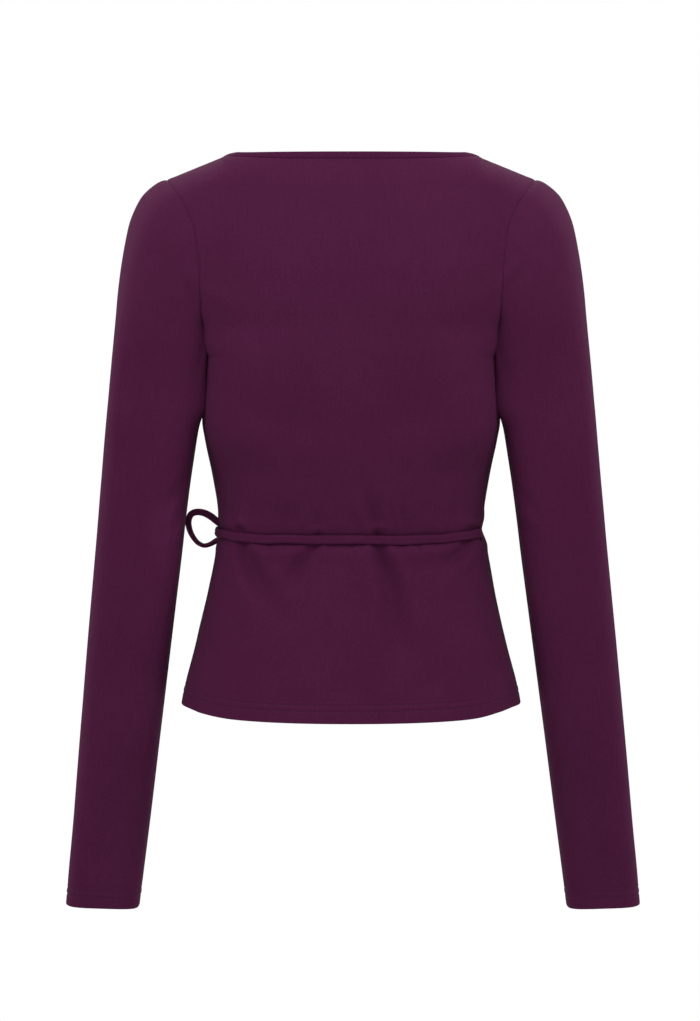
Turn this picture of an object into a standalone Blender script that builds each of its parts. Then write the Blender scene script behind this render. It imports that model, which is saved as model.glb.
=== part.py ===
"""Wrap top in knitted jersey: back, two crossing fronts, set-in sleeves, neck band, waist ties.

Metres, +Z up.  The front of the garment faces -Y, the back faces +Y and the wearer's left is +X.
The origin lies between the two shoulders at the height of the neck, where the wearer carries it.
"""
import math

import bpy
from mathutils import Vector

for old in list(bpy.data.objects):
    bpy.data.objects.remove(old, do_unlink=True)

# ---------------------------------------------------------------- driving sizes
WALL = 0.0016            # cloth wall
SEAM_BACK = 0.00018      # each piece stops this far short of its seam line
SHOULDER_X = 0.1730      # shoulder point, half width
SHOULDER_Z = -0.0261
NECK_X = 0.1205          # where the shoulder seam meets the neck band
NECK_Z = -0.0049
NECK_DIP = 0.0036        # the back neck dips this much at its middle
SHOULDER_Y = -0.0040     # the shoulder seam lies on top
UNDERARM_Z = -0.1900
HEM_Z = -0.5160
HEM_DROP_BACK = 0.0085   # the hem hangs lower at the middle of the back
HEM_DROP_FRONT = 0.0040
HEM_HELD = (0.0016, 0.0030)      # the hem is held up beside its corners, at the wearer's left and right
ROLL = 0.0240            # the shoulder rolls forward to its seam over this height
BAND_W = 0.0068          # neck band
BAND_T = 0.0021
UNDER = 0.0038           # how far the inner front lies inside the outer one
TIE_W = 0.0082           # waist tie, a pressed flat tube
TIE_T = 0.0020
TIE_LIFT = 0.0020        # tie centre above the cloth that it crosses
SLIT_HALF = 0.0045       # slit in the right side seam, half width
SLIT_Z = -0.3555

# columns of cloth in each piece
N_BACK = 20
N_FRONT = 13
N_HALF_ARMHOLE = 9
N_CAP = 8

# torso form: level, half width, depth of back, depth of front, depth where it is widest
FORM = (
    # z        half_w   back    front    side_y
    (0.0000, 0.1086, 0.0690, -0.0480, -0.0040),
    (-0.0049, 0.1205, 0.0720, -0.0510, -0.0040),
    (-0.0150, 0.1447, 0.0765, -0.0580, -0.0040),
    (-0.0261, 0.1730, 0.0808, -0.0648, -0.0040),
    (-0.0400, 0.1745, 0.0858, -0.0710, -0.0042),
    (-0.0600, 0.1710, 0.0920, -0.0790, -0.0050),
    (-0.0850, 0.1650, 0.0980, -0.0880, -0.0060),
    (-0.1150, 0.1570, 0.1025, -0.0970, -0.0080),
    (-0.1450, 0.1490, 0.1040, -0.1040, -0.0100),
    (-0.1700, 0.1420, 0.1035, -0.1080, -0.0110),
    (-0.1900, 0.1366, 0.1032, -0.1095, -0.0120),
    (-0.2050, 0.1371, 0.1026, -0.1095, -0.0120),
    (-0.2200, 0.1379, 0.1014, -0.1085, -0.0120),
    (-0.2350, 0.1391, 0.0998, -0.1065, -0.0120),
    (-0.2510, 0.1392, 0.0978, -0.1040, -0.0115),
    (-0.2660, 0.1370, 0.0965, -0.1010, -0.0105),
    (-0.2811, 0.1343, 0.0947, -0.0985, -0.0090),
    (-0.3111, 0.1286, 0.0893, -0.0935, -0.0060),
    (-0.3350, 0.1248, 0.0829, -0.0900, -0.0040),
    (-0.3487, 0.1236, 0.0786, -0.0890, -0.0030),
    (-0.3600, 0.1250, 0.0770, -0.0892, -0.0025),
    (-0.3713, 0.1273, 0.0794, -0.0902, -0.0020),
    (-0.4164, 0.1358, 0.0922, -0.0970, 0.0000),
    (-0.4615, 0.1459, 0.1027, -0.1045, 0.0000),
    (-0.5067, 0.1573, 0.1108, -0.1115, 0.0000),
    (-0.5160, 0.1589, 0.1130, -0.1130, 0.0000),
    (-0.5300, 0.1612, 0.1150, -0.1150, 0.0000),
)
SQUARE_BACK = 3.0        # superellipse exponents: the back is flatter than the front
SQUARE_FRONT = 2.3
SQUARE_NECK = 3.0
SQUARE_SIDE = 0.5        # squarer still where the sleeve rests against the body
SQUARE_SLEEVE = (2.4, 1.0, 0.6)     # all round, more of it towards the body at the back, more beside it

# the curves of the upper back and chest are drawn to a wider form than the seams reach, so that the
# cloth comes flat to the armholes
BROAD = (
    # z        back    front
    (0.0100, 0.1780, 0.1750),
    (-0.0268, 0.1810, 0.1760),
    (-0.0500, 0.1830, 0.1750),
    (-0.0800, 0.1800, 0.1700),
    (-0.1100, 0.1710, 0.1620),
    (-0.1400, 0.1590, 0.1520),
    (-0.1600, 0.1500, 0.1450),
    (-0.1740, 0.1440, 0.1410),
    (-0.1840, 0.1390, 0.1382),
    (-0.1900, 0.1366, 0.1366),
)

# how the weight of the cloth and its ease settle the whole garment: level, let down, width
SETTLE = (
    # z        down     width
    (0.0300, 0.00000, 0.9945),
    (-0.0033, 0.00000, 0.9950),
    (-0.1000, 0.00000, 0.9964),
    (-0.2000, 0.00000, 0.9979),
    (-0.3000, -0.00009, 0.9995),
    (-0.4000, 0.00010, 1.0010),
    (-0.5000, 0.00060, 1.0025),
    (-0.6000, 0.00141, 1.0041),
    (-0.7000, 0.00253, 1.0056),
    (-0.7300, 0.00290, 1.0060),
)

# armhole seam: level, half width on the back, half width on the front
ARMHOLE = (
    # z        back_x   front_x
    (-0.0261, 0.1730, 0.1730),
    (-0.0390, 0.1612, 0.1580),
    (-0.0498, 0.1540, 0.1490),
    (-0.0625, 0.1482, 0.1415),
    (-0.0747, 0.1438, 0.1368),
    (-0.0940, 0.1413, 0.1325),
    (-0.1100, 0.1396, 0.1308),
    (-0.1288, 0.1385, 0.1302),
    (-0.1466, 0.1379, 0.1312),
    (-0.1640, 0.1373, 0.1332),
    (-0.1800, 0.1368, 0.1355),
    (-0.1900, 0.1366, 0.1366),
)

# side seams, as the angle round the body from the middle of the back (90 is the side)
SIDE_SEAM = (
    # z        right    left
    (-0.1900, 90.0, 90.0),
    (-0.2500, 86.0, 88.0),
    (-0.3100, 75.0, 82.0),
    (-0.3570, 71.0, 78.0),
    (-0.3850, 64.0, 76.0),
    (-0.4150, 54.0, 80.0),
    (-0.4600, 49.5, 92.0),
    (-0.5160, 46.0, 100.0),
    (-0.5300, 45.0, 101.0),
)

# free edge of a wrap front: level and how far past the middle it has crossed
WRAP_EDGE = (
    # z        outer_x  inner_x
    (-0.0049, -0.1205, -0.1205),
    (-0.0400, -0.0920, -0.0920),
    (-0.0900, -0.0600, -0.0600),
    (-0.1400, -0.0275, -0.0275),
    (-0.1900, 0.0055, 0.0060),
    (-0.2400, 0.0370, 0.0400),
    (-0.2900, 0.0640, 0.0700),
    (-0.3300, 0.0800, 0.0880),
    (-0.3570, 0.0862, 0.0950),
    (-0.4000, 0.0905, 0.1000),
    (-0.4600, 0.0960, 0.1060),
    (-0.5160, 0.1010, 0.1110),
    (-0.5300, 0.1020, 0.1120),
)

# levels of the rows of cloth below the armholes, hem first
ROWS = (-0.5160, -0.5010, -0.4760, -0.4510, -0.4260, -0.4020, -0.3820, -0.3665, -0.3602, -0.3555,
        -0.3508, -0.3455, -0.3340, -0.3130, -0.2900, -0.2650, -0.2400, -0.2150, -0.1900)
SLIT_ROWS = (-0.3602, -0.3555, -0.3508)

# outer line of the sleeve over the shoulder, from the shoulder point down
CAP_LINE = (
    # x        z
    (0.1730, -0.0261),
    (0.1795, -0.0277),
    (0.1850, -0.0309),
    (0.1926, -0.0372),
    (0.1986, -0.0446),
    (0.2053, -0.0583),
    (0.2097, -0.0724),
    (0.2148, -0.1006),
    (0.2183, -0.1288),
    (0.2205, -0.1570),
    (0.2229, -0.1852),
    (0.2258, -0.2193),
)

# sleeve tube: level of its middle, inner x, outer x, y of its middle, half depth, tilt in degrees
SLEEVE = (
    # z        inner_x  outer_x  mid_y    half_y  tilt
    (-0.2290, 0.1404, 0.2258, 0.0190, 0.0490, 13.0),
    (-0.2400, 0.1414, 0.2268, 0.0198, 0.0485, 11.5),
    (-0.2510, 0.1430, 0.2279, 0.0205, 0.0480, 10.0),
    (-0.2811, 0.1471, 0.2305, 0.0215, 0.0465, 7.5),
    (-0.3111, 0.1513, 0.2331, 0.0212, 0.0450, 6.5),
    (-0.3412, 0.1551, 0.2358, 0.0202, 0.0438, 6.0),
    (-0.3713, 0.1586, 0.2386, 0.0186, 0.0430, 6.0),
    (-0.4164, 0.1644, 0.2430, 0.0150, 0.0415, 6.0),
    (-0.4615, 0.1702, 0.2474, 0.0110, 0.0400, 6.0),
    (-0.5067, 0.1760, 0.2516, 0.0060, 0.0388, 6.0),
    (-0.5471, 0.1812, 0.2555, 0.0010, 0.0376, 5.5),
    (-0.5894, 0.1865, 0.2594, -0.0040, 0.0362, 5.0),
    (-0.6317, 0.1919, 0.2632, -0.0090, 0.0348, 4.5),
    (-0.6740, 0.1974, 0.2675, -0.0130, 0.0334, 3.5),
    (-0.7060, 0.2014, 0.2705, -0.0160, 0.0322, 2.0),
)
SLEEVE_ROWS = (-0.2290, -0.2520, -0.2811, -0.3200, -0.3650, -0.4164, -0.4700, -0.5300, -0.5894,
               -0.6450, -0.6900, -0.7082)
SPLAY = 0.0018           # at the cuffs the left sleeve hangs this much nearer, the right one further out

# bow loop that stands out past the wearer's left side, in order from the knot and back to it
LOOP_OUT = (
    # x       y        z        turn of the band in degrees (0 is seen edge on from behind)
    (0.1190, -0.0520, -0.3558, 30.0),
    (0.1250, -0.0430, -0.3510, 52.0),
    (0.1323, -0.0360, -0.3442, 56.0),
    (0.1390, -0.0310, -0.3402, 50.0),
    (0.1461, -0.0280, -0.3390, 46.0),
    (0.1515, -0.0270, -0.3412, 42.0),
    (0.1539, -0.0270, -0.3469, 38.0),
    (0.1535, -0.0270, -0.3530, 32.0),
    (0.1511, -0.0280, -0.3600, 25.0),
    (0.1468, -0.0300, -0.3666, 18.0),
    (0.1428, -0.0315, -0.3698, 14.0),
    (0.1385, -0.0340, -0.3711, 13.0),
    (0.1333, -0.0380, -0.3699, 20.0),
    (0.1276, -0.0435, -0.3668, 34.0),
    (0.1215, -0.0510, -0.3630, 36.0),
)
# bow loop that lies forward on the outer front: way round the body from the knot, level
LOOP_FORWARD = (
    # along    z
    (0.0095, -0.3535),
    (0.0180, -0.3505),
    (0.0280, -0.3510),
    (0.0370, -0.3560),
    (0.0405, -0.3640),
    (0.0375, -0.3725),
    (0.0290, -0.3755),
    (0.0190, -0.3715),
    (0.0110, -0.3640),
)
KNOT_ANGLE = 124.0       # place of the knot round the body, from the middle of the back
KNOT_Z = -0.3575
KNOT_HALF = (0.0065, 0.0043, 0.0062)    # along the body, outward, up
# free ends below the knot: way round the body from the knot at the top and bottom, end level
TAILS = (
    # top     bottom   end_z    name
    (-0.0047, -0.0170, -0.4980, "bow_tail_a"),
    (0.0048, 0.0080, -0.4780, "bow_tail_b"),
)

COLOUR = (0.062, 0.011, 0.038, 1.0)
COLOUR_BAND = (0.056, 0.010, 0.034, 1.0)
COLOUR_TIE = (0.052, 0.009, 0.032, 1.0)


# ---------------------------------------------------------------- small maths
def smooth(table, column):
    """A smooth curve through one column of a table, against its first column."""
    rows = sorted(table, key=lambda r: r[0])
    xs = [r[0] for r in rows]
    ys = [r[column] for r in rows]
    slopes = []
    for i in range(len(xs)):
        if i == 0:
            slopes.append((ys[1] - ys[0]) / (xs[1] - xs[0]))
        elif i == len(xs) - 1:
            slopes.append((ys[-1] - ys[-2]) / (xs[-1] - xs[-2]))
        else:
            a = (ys[i] - ys[i - 1]) / (xs[i] - xs[i - 1])
            b = (ys[i + 1] - ys[i]) / (xs[i + 1] - xs[i])
            slopes.append(0.0 if a * b <= 0 else 2 * a * b / (a + b))

    def f(x):
        if x <= xs[0]:
            return ys[0] + slopes[0] * (x - xs[0])
        if x >= xs[-1]:
            return ys[-1] + slopes[-1] * (x - xs[-1])
        i = max(k for k in range(len(xs) - 1) if xs[k] <= x)
        h = xs[i + 1] - xs[i]
        t = (x - xs[i]) / h
        return ((2 * t**3 - 3 * t**2 + 1) * ys[i] + (t**3 - 2 * t**2 + t) * h * slopes[i]
                + (-2 * t**3 + 3 * t**2) * ys[i + 1] + (t**3 - t**2) * h * slopes[i + 1])

    return f


def step(a, b, x):
    t = min(1.0, max(0.0, (x - a) / (b - a)))
    return t * t * (3 - 2 * t)


def lerp(a, b, t):
    return a + (b - a) * t


def lengths(points):
    total = [0.0]
    for p, q in zip(points, points[1:]):
        total.append(total[-1] + (q - p).length)
    return total


def resample(points, fractions):
    """Points at the given fractions of a polyline's length."""
    run = lengths(points)
    out = []
    k = 0
    for f in fractions:
        want = f * run[-1]
        while k < len(run) - 2 and run[k + 1] < want:
            k += 1
        span = run[k + 1] - run[k]
        t = 0.0 if span == 0 else min(1.0, max(0.0, (want - run[k]) / span))
        out.append(points[k].lerp(points[k + 1], t))
    return out


def even(n):
    return [i / n for i in range(n + 1)]


def spline(points, n):
    """n + 1 points evenly along a smooth curve through the given ones."""
    dense = []
    last = len(points) - 1
    for i in range(last):
        p0, p1, p2, p3 = points[max(i - 1, 0)], points[i], points[i + 1], points[min(i + 2, last)]
        for k in range(12):
            t = k / 12
            dense.append(0.5 * (2 * p1 + (p2 - p0) * t + (2 * p0 - 5 * p1 + 4 * p2 - p3) * t * t
                                + (3 * p1 - p0 - 3 * p2 + p3) * t**3))
    dense.append(points[-1])
    return resample(dense, even(n))


body_w = smooth(FORM, 1)
back_y = smooth(FORM, 2)
front_y = smooth(FORM, 3)
side_y = smooth(FORM, 4)
arm_back = smooth(ARMHOLE, 1)
arm_front = smooth(ARMHOLE, 2)
seam_right = smooth(SIDE_SEAM, 1)
seam_left = smooth(SIDE_SEAM, 2)
edge_outer = smooth(WRAP_EDGE, 1)
edge_inner = smooth(WRAP_EDGE, 2)
broad_back = smooth(BROAD, 1)
broad_front = smooth(BROAD, 2)
settle_down = smooth(SETTLE, 1)
settle_wide = smooth(SETTLE, 2)


# ---------------------------------------------------------------- the torso form
def half_w(z):
    """Half width of the form; above the shoulder point it follows the straight shoulder seam."""
    if z >= SHOULDER_Z:
        return NECK_X + (NECK_Z - z) * (SHOULDER_X - NECK_X) / (NECK_Z - SHOULDER_Z)
    return body_w(z)


def top_edge(x, dip):
    """Level of the cloth's top edge: the neck's, then down along the shoulder seam."""
    if abs(x) <= NECK_X:
        return NECK_Z - dip * (1 - (abs(x) / NECK_X) ** 3.27)
    return lerp(NECK_Z, SHOULDER_Z, (abs(x) - NECK_X) / (SHOULDER_X - NECK_X))


def square_back(z):
    return SQUARE_BACK + SQUARE_SIDE * step(-0.186, -0.215, z) * step(-0.300, -0.255, z)


def rolled(x, z, n, q, deep, broad, brink, dip):
    """A point of the back or the chest, which rolls over to the shoulder seam and the neck's edge."""
    r = min(1.0, abs(x) / broad)
    full = side_y(z) + (deep - side_y(z)) * (1 - r**n) ** (1 / n)
    k = min(1.0, abs(x) / NECK_X)
    edge = SHOULDER_Y + (brink - SHOULDER_Y) * (1 - k**q) ** (1 / q)
    t = min(1.0, max(0.0, (top_edge(x, dip) - z) / ROLL))
    over = (1 - (1 - t) ** 2.2) ** (1 / 1.8)
    return Vector((x, edge + (full - edge) * over, z))


def back_surface(x, z):
    return rolled(x, z, square_back(z), SQUARE_NECK, back_y(z), broad_back(z), back_y(NECK_Z), NECK_DIP)


def front_surface(x, z):
    return rolled(x, z, SQUARE_FRONT, SQUARE_FRONT, front_y(z), broad_front(z), front_y(NECK_Z), 0.0)


def form(angle, z):
    """A point of the body at an angle from the middle of the back, positive to the wearer's left."""
    a = math.radians(abs(angle))
    side = 1.0 if angle >= 0 else -1.0
    back = a <= math.pi / 2
    n = square_back(z) if back else SQUARE_FRONT
    s = max(0.0, math.sin(a)) ** (2 / n)
    c = abs(math.cos(a)) ** (2 / n)
    depth = back_y(z) if back else front_y(z)
    return Vector((side * half_w(z) * s, side_y(z) + (depth - side_y(z)) * c, z))


def front_angle(x, z):
    """The angle at which the front reaches this x."""
    r = min(1.0, abs(x) / half_w(z))
    a = 180.0 - math.degrees(math.asin(r ** (SQUARE_FRONT / 2)))
    return a if x >= 0 else 360.0 - a       # past the middle of the front


def let_down(row, z, side=1):
    """A level row of the body below the waist, let down in the middle and held up beside the corners."""
    out = []
    for p in row:
        amount = HEM_DROP_BACK if p.y > 0 else HEM_DROP_FRONT
        r = min(1.0, abs(p.x) / half_w(z))
        u = 1 - r * r
        held = HEM_HELD[0] if p.x * side > 0 else HEM_HELD[1]
        drop = amount * u ** 0.6 * step(0.0, 0.25, u) - held * math.exp(-((r - 0.9) / 0.12) ** 2)
        out.append(Vector((p.x, p.y, p.z - drop * step(-0.36, HEM_Z, z))))
    return out


def round_body(a0, a1, z, fractions, side=1):
    """A level row of cloth between two angles, evenly spaced, let down near the hem."""
    dense = [form(lerp(a0, a1, k / 160), z) for k in range(161)]
    return let_down(resample(dense, fractions), z, side)


def armhole_points(width, surface):
    """The armhole seam from the underarm up to the shoulder point, evenly spaced."""
    dense = []
    for k in range(241):
        t = k / 240
        z = lerp(UNDERARM_Z, SHOULDER_Z, 1 - (1 - t) ** 2)
        dense.append(surface(width(z), z))
    return resample(dense, even(N_HALF_ARMHOLE))


ARM_BACK = armhole_points(arm_back, back_surface)
ARM_FRONT = armhole_points(arm_front, front_surface)


# ---------------------------------------------------------------- the panels as rows of points
def slit(z, angle, towards):
    """Moves a side seam's edge back where the slit for the tie is."""
    if z not in SLIT_ROWS:
        return angle
    here, near = form(angle, z), form(angle + 1.0, z)
    return angle + towards * SLIT_HALF / (near - here).length


def back_rows():
    rows = []
    for z in ROWS:
        a0 = -seam_right(z)
        a0 = slit(z, a0, 1.0)
        rows.append(round_body(a0, seam_left(z), z, even(N_BACK)))
    spread = [q.x / half_w(UNDERARM_Z) for q in rows[-1]]
    corner = round(N_BACK / 2 * 0.7)        # column that meets the neck's corner
    half = N_BACK // 2
    flat = []
    for i in range(N_BACK + 1):
        k = abs(i - half)
        f = (k / corner) * NECK_X if k <= corner else lerp(NECK_X, SHOULDER_X, (k - corner) / (half - corner))
        flat.append(math.copysign(f / SHOULDER_X, i - half) if k else 0.0)
    for j in range(1, N_HALF_ARMHOLE + 1):
        seam = ARM_BACK[j]
        tau = (seam.z - UNDERARM_Z) / (SHOULDER_Z - UNDERARM_Z)
        mix = step(0.0, 0.75, tau)
        row = []
        for i in range(N_BACK + 1):
            if i in (0, N_BACK):
                row.append(Vector((math.copysign(seam.x, i - half), seam.y, seam.z)))
                continue
            x = seam.x * lerp(spread[i], flat[i], mix)
            z = lerp(UNDERARM_Z, top_edge(SHOULDER_X * flat[i], NECK_DIP), tau)
            p = back_surface(x, z)
            if j == N_HALF_ARMHOLE and abs(i - half) >= corner:
                p.y = SHOULDER_Y
            row.append(p)
        rows.append(row)
    return rows


def front_rows(side, edge, start_angle, slit_way):
    """A wrap front, from its own side seam (side = 1 is the wearer's left) to its free edge."""
    rows = []
    for z in ROWS:
        a0 = slit(z, start_angle(z), slit_way) if slit_way else start_angle(z)
        a1 = front_angle(edge(z), z)
        row = round_body(a0, a1, z, even(N_FRONT), side) if a1 <= 180 else None
        if row is None:
            dense = [form(lerp(a0, 180.0, k / 160), z) for k in range(161)]
            dense += [form(-lerp(180.0, 360.0 - a1, k / 160), z) for k in range(1, 161)]
            row = let_down(resample(dense, even(N_FRONT)), z, side)
        rows.append(row)
    for j in range(1, N_HALF_ARMHOLE + 1):
        seam = ARM_FRONT[j]
        tau = (seam.z - UNDERARM_Z) / (SHOULDER_Z - UNDERARM_Z)
        z_edge = lerp(UNDERARM_Z, NECK_Z, tau)
        n = SQUARE_FRONT
        wide0, wide1 = broad_front(seam.z), broad_front(z_edge)
        x1 = edge(z_edge)
        t0 = math.asin(min(1.0, seam.x / wide0) ** (n / 2))
        t1 = math.copysign(math.asin(min(1.0, abs(x1) / wide1) ** (n / 2)), x1)
        straight = 1.0 if j == N_HALF_ARMHOLE else step(0.45, 1.0, tau)
        dense = []
        for k in range(201):
            t = k / 200
            z = lerp(seam.z, z_edge, t)
            a = lerp(t0, t1, t)
            x = math.copysign(abs(math.sin(a)) ** (2 / n) * lerp(wide0, wide1, t), a)
            dense.append(front_surface(lerp(x, lerp(seam.x, x1, t), straight), z))
        row = resample(dense, even(N_FRONT))
        row[0] = seam.copy()
        rows.append(row)
    if side < 0:
        rows = [[Vector((-p.x, p.y, p.z)) for p in row] for row in rows]
    return rows


# The fronts are worked out on the +X side, where "edge" runs from the wearer's left neck corner
# (x = NECK_X there) across to the other side, so the edge tables are read with their sign turned.
def face_out(rows, normals, centre_of):
    """Turns a grid's normals away from the middle of its form."""
    total = sum(q.dot((p - centre_of(p)).normalized()) for row, nrow in zip(rows, normals) for p, q in zip(row, nrow))
    if total < 0:
        for nrow in normals:
            for k in range(len(nrow)):
                nrow[k] = -nrow[k]


def torso_axis(p):
    return Vector((0, 0, p.z))


def left_front_rows():
    rows = front_rows(1, lambda z: -edge_inner(z), seam_left, 0)
    normals = grid_normals(rows, 1, regular=True)
    face_out(rows, normals, torso_axis)
    for row, nrow in zip(rows, normals):
        first = row[0].copy()
        for i, (p, n) in enumerate(zip(row, nrow)):
            away = step(0.0, 0.030, (p - first).length)
            low = step(-0.05, -0.13, p.z)
            row[i] = p - n * (UNDER * away * low)
    return rows


def right_front_rows():
    return front_rows(-1, lambda z: -edge_outer(z), seam_right, 1.0)


def grid_normals(rows, sign, ring=False, regular=False):
    """Normals of a grid of points from its neighbours; regular rows are evenly spaced."""
    def along(points, i):
        if not regular:
            return points[min(i + 1, len(points) - 1)] - points[max(i - 1, 0)]
        if i == 0:
            return points[1] * 4 - points[0] * 3 - points[2]
        if i == len(points) - 1:
            return points[-1] * 3 - points[-2] * 4 + points[-3]
        return points[i + 1] - points[i - 1]

    out = []
    for j, row in enumerate(rows):
        line = []
        for i in range(len(row)):
            du = row[(i + 1) % len(row)] - row[i - 1] if ring else along(row, i)
            dv = rows[min(j + 1, len(rows) - 1)][i] - rows[max(j - 1, 0)][i]
            line.append(du.cross(dv).normalized() * sign)
        out.append(line)
    return out


# ---------------------------------------------------------------- solids
def material(name, colour, rough):
    m = bpy.data.materials.new(name)
    m.use_nodes = True
    b = m.node_tree.nodes["Principled BSDF"]
    b.inputs["Base Color"].default_value = colour
    b.inputs["Roughness"].default_value = rough
    b.inputs["Metallic"].default_value = 0.0
    return m


def add(name, verts, faces, colour=COLOUR, rough=0.85):
    """One closed body, its faces turned out."""
    verts = [Vector((v[0] * settle_wide(v[2]), v[1], v[2] - settle_down(v[2]))) for v in verts]
    volume = 0.0
    for f in faces:
        a = verts[f[0]]
        for b, c in zip(f[1:-1], f[2:]):
            volume += a.dot(verts[b].cross(verts[c]))
    if volume < 0:
        faces = [tuple(reversed(f)) for f in faces]
    mesh = bpy.data.meshes.new(name)
    mesh.from_pydata([tuple(v) for v in verts], [], faces)
    mesh.update()
    mesh.validate()
    mesh.materials.append(material(name + "_cloth", colour, rough))
    ob = bpy.data.objects.new(name, mesh)
    bpy.context.scene.collection.objects.link(ob)
    mesh.shade_smooth()
    mesh.set_sharp_from_angle(angle=math.radians(50))
    return ob


def rim(verts, a, b, inside):
    """Two triangles across a wall's edge, split from the lower outer to the upper inner point, so
    that two pieces along one seam split alike."""
    if verts[b].z < verts[a].z:
        return [(b, a, inside + a), (b, inside + a, inside + b)]
    return [(b, a, inside + b), (a, inside + a, inside + b)]


def panel(name, rows, normals, back_off, colour=COLOUR):
    """A wall of cloth on a grid of outer points.  back_off names the sides that end at a seam."""
    rows = [[p.copy() for p in row] for row in rows]
    m, n = len(rows), len(rows[0])
    moved = [[Vector((0, 0, 0)) for _ in row] for row in rows]
    for j in range(m):
        for side, near, at in (("first", 1, 0), ("last", n - 2, n - 1)):
            if side in back_off:
                way = (rows[j][near] - rows[j][at]).normalized()
                spread = apart.get(key(rows[j][at]), Vector((0, 0, 0)))
                if spread.length > 0 and j > len(ROWS) - 1:
                    way = spread
                elif spread.length > 0:
                    way = way + spread
                moved[j][at] += way * SEAM_BACK
    for i in range(n):
        if "top" in back_off:
            moved[-1][i] += (rows[-2][i] - rows[-1][i]).normalized() * SEAM_BACK
    for j in range(m):
        for i in range(n):
            rows[j][i] = rows[j][i] + moved[j][i]
    verts = [p for row in rows for p in row]
    verts += [p - q * WALL for row, nrow in zip(rows, normals) for p, q in zip(row, nrow)]
    inside = m * n
    faces = []
    for j in range(m - 1):
        for i in range(n - 1):
            a, b, c, d = j * n + i, j * n + i + 1, (j + 1) * n + i + 1, (j + 1) * n + i
            faces += [(a, b, c), (a, c, d)]
            faces += [(inside + a, inside + c, inside + b), (inside + a, inside + d, inside + c)]
    border = [(0, i) for i in range(n)] + [(j, n - 1) for j in range(1, m)]
    border += [(m - 1, i) for i in range(n - 2, -1, -1)] + [(j, 0) for j in range(m - 2, 0, -1)]
    ids = [j * n + i for j, i in border]
    for a, b in zip(ids, ids[1:] + ids[:1]):
        faces += rim(verts, a, b, inside)
    return add(name, verts, faces, colour)


def tube(name, rings, normals, colour=COLOUR):
    """A sleeve: a wall on rings of outer points, open at both ends."""
    rings = [[p.copy() for p in ring] for ring in rings]
    n = len(rings[0])
    for i in range(n):
        rings[0][i] -= apart[key(rings[0][i])] * SEAM_BACK
    verts = [p for ring in rings for p in ring]
    verts += [p - q * WALL for ring, nring in zip(rings, normals) for p, q in zip(ring, nring)]
    inside = len(rings) * n
    faces = []
    for j in range(len(rings) - 1):
        for i in range(n):
            a, b = j * n + i, j * n + (i + 1) % n
            d, c = a + n, (j + 1) * n + (i + 1) % n
            faces += [(a, b, c), (a, c, d)]
            faces += [(inside + a, inside + c, inside + b), (inside + a, inside + d, inside + c)]
    last = (len(rings) - 1) * n
    for i in range(n):
        faces += rim(verts, i, (i + 1) % n, inside)
        a, b = last + i, last + (i + 1) % n
        faces += [(a, b, inside + b), (a, inside + b, inside + a)]
    return add(name, verts, faces, colour)


def strap(name, sections, colour):
    """A solid strip through quadrilateral sections of four points each."""
    verts = [p for s in sections for p in s]
    faces = [(0, 1, 2), (0, 2, 3)]
    for j in range(len(sections) - 1):
        for i in range(4):
            a, b = 4 * j + i, 4 * j + (i + 1) % 4
            faces += [(b, a, a + 4), (b, a + 4, b + 4)]
    k = 4 * (len(sections) - 1)
    faces += [(k + 2, k + 1, k), (k + 3, k + 2, k)]
    return add(name, verts, faces, colour)


def band(name, line, inward, normals, colour=COLOUR_BAND):
    """The neck band beside a panel's edge: line is the edge, inward points into the opening."""
    sections = []
    for p, d, n in zip(line, inward, normals):
        near, far = p + d * SEAM_BACK, p + d * (SEAM_BACK + BAND_W)
        out, under = n * (BAND_T - WALL) * 0.5, n * (WALL + (BAND_T - WALL) * 0.5)
        sections.append([near + out, far + out, far - under, near - under])
    return strap(name, sections, colour)


def flat_strap(name, path, across, normal, width=TIE_W, thick=TIE_T, colour=COLOUR_TIE):
    sections = []
    for p, a, n in zip(path, across, normal):
        w, t = a * (width / 2), n * (thick / 2)
        sections.append([p - w + t, p + w + t, p + w - t, p - w - t])
    return strap(name, sections, colour)


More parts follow.
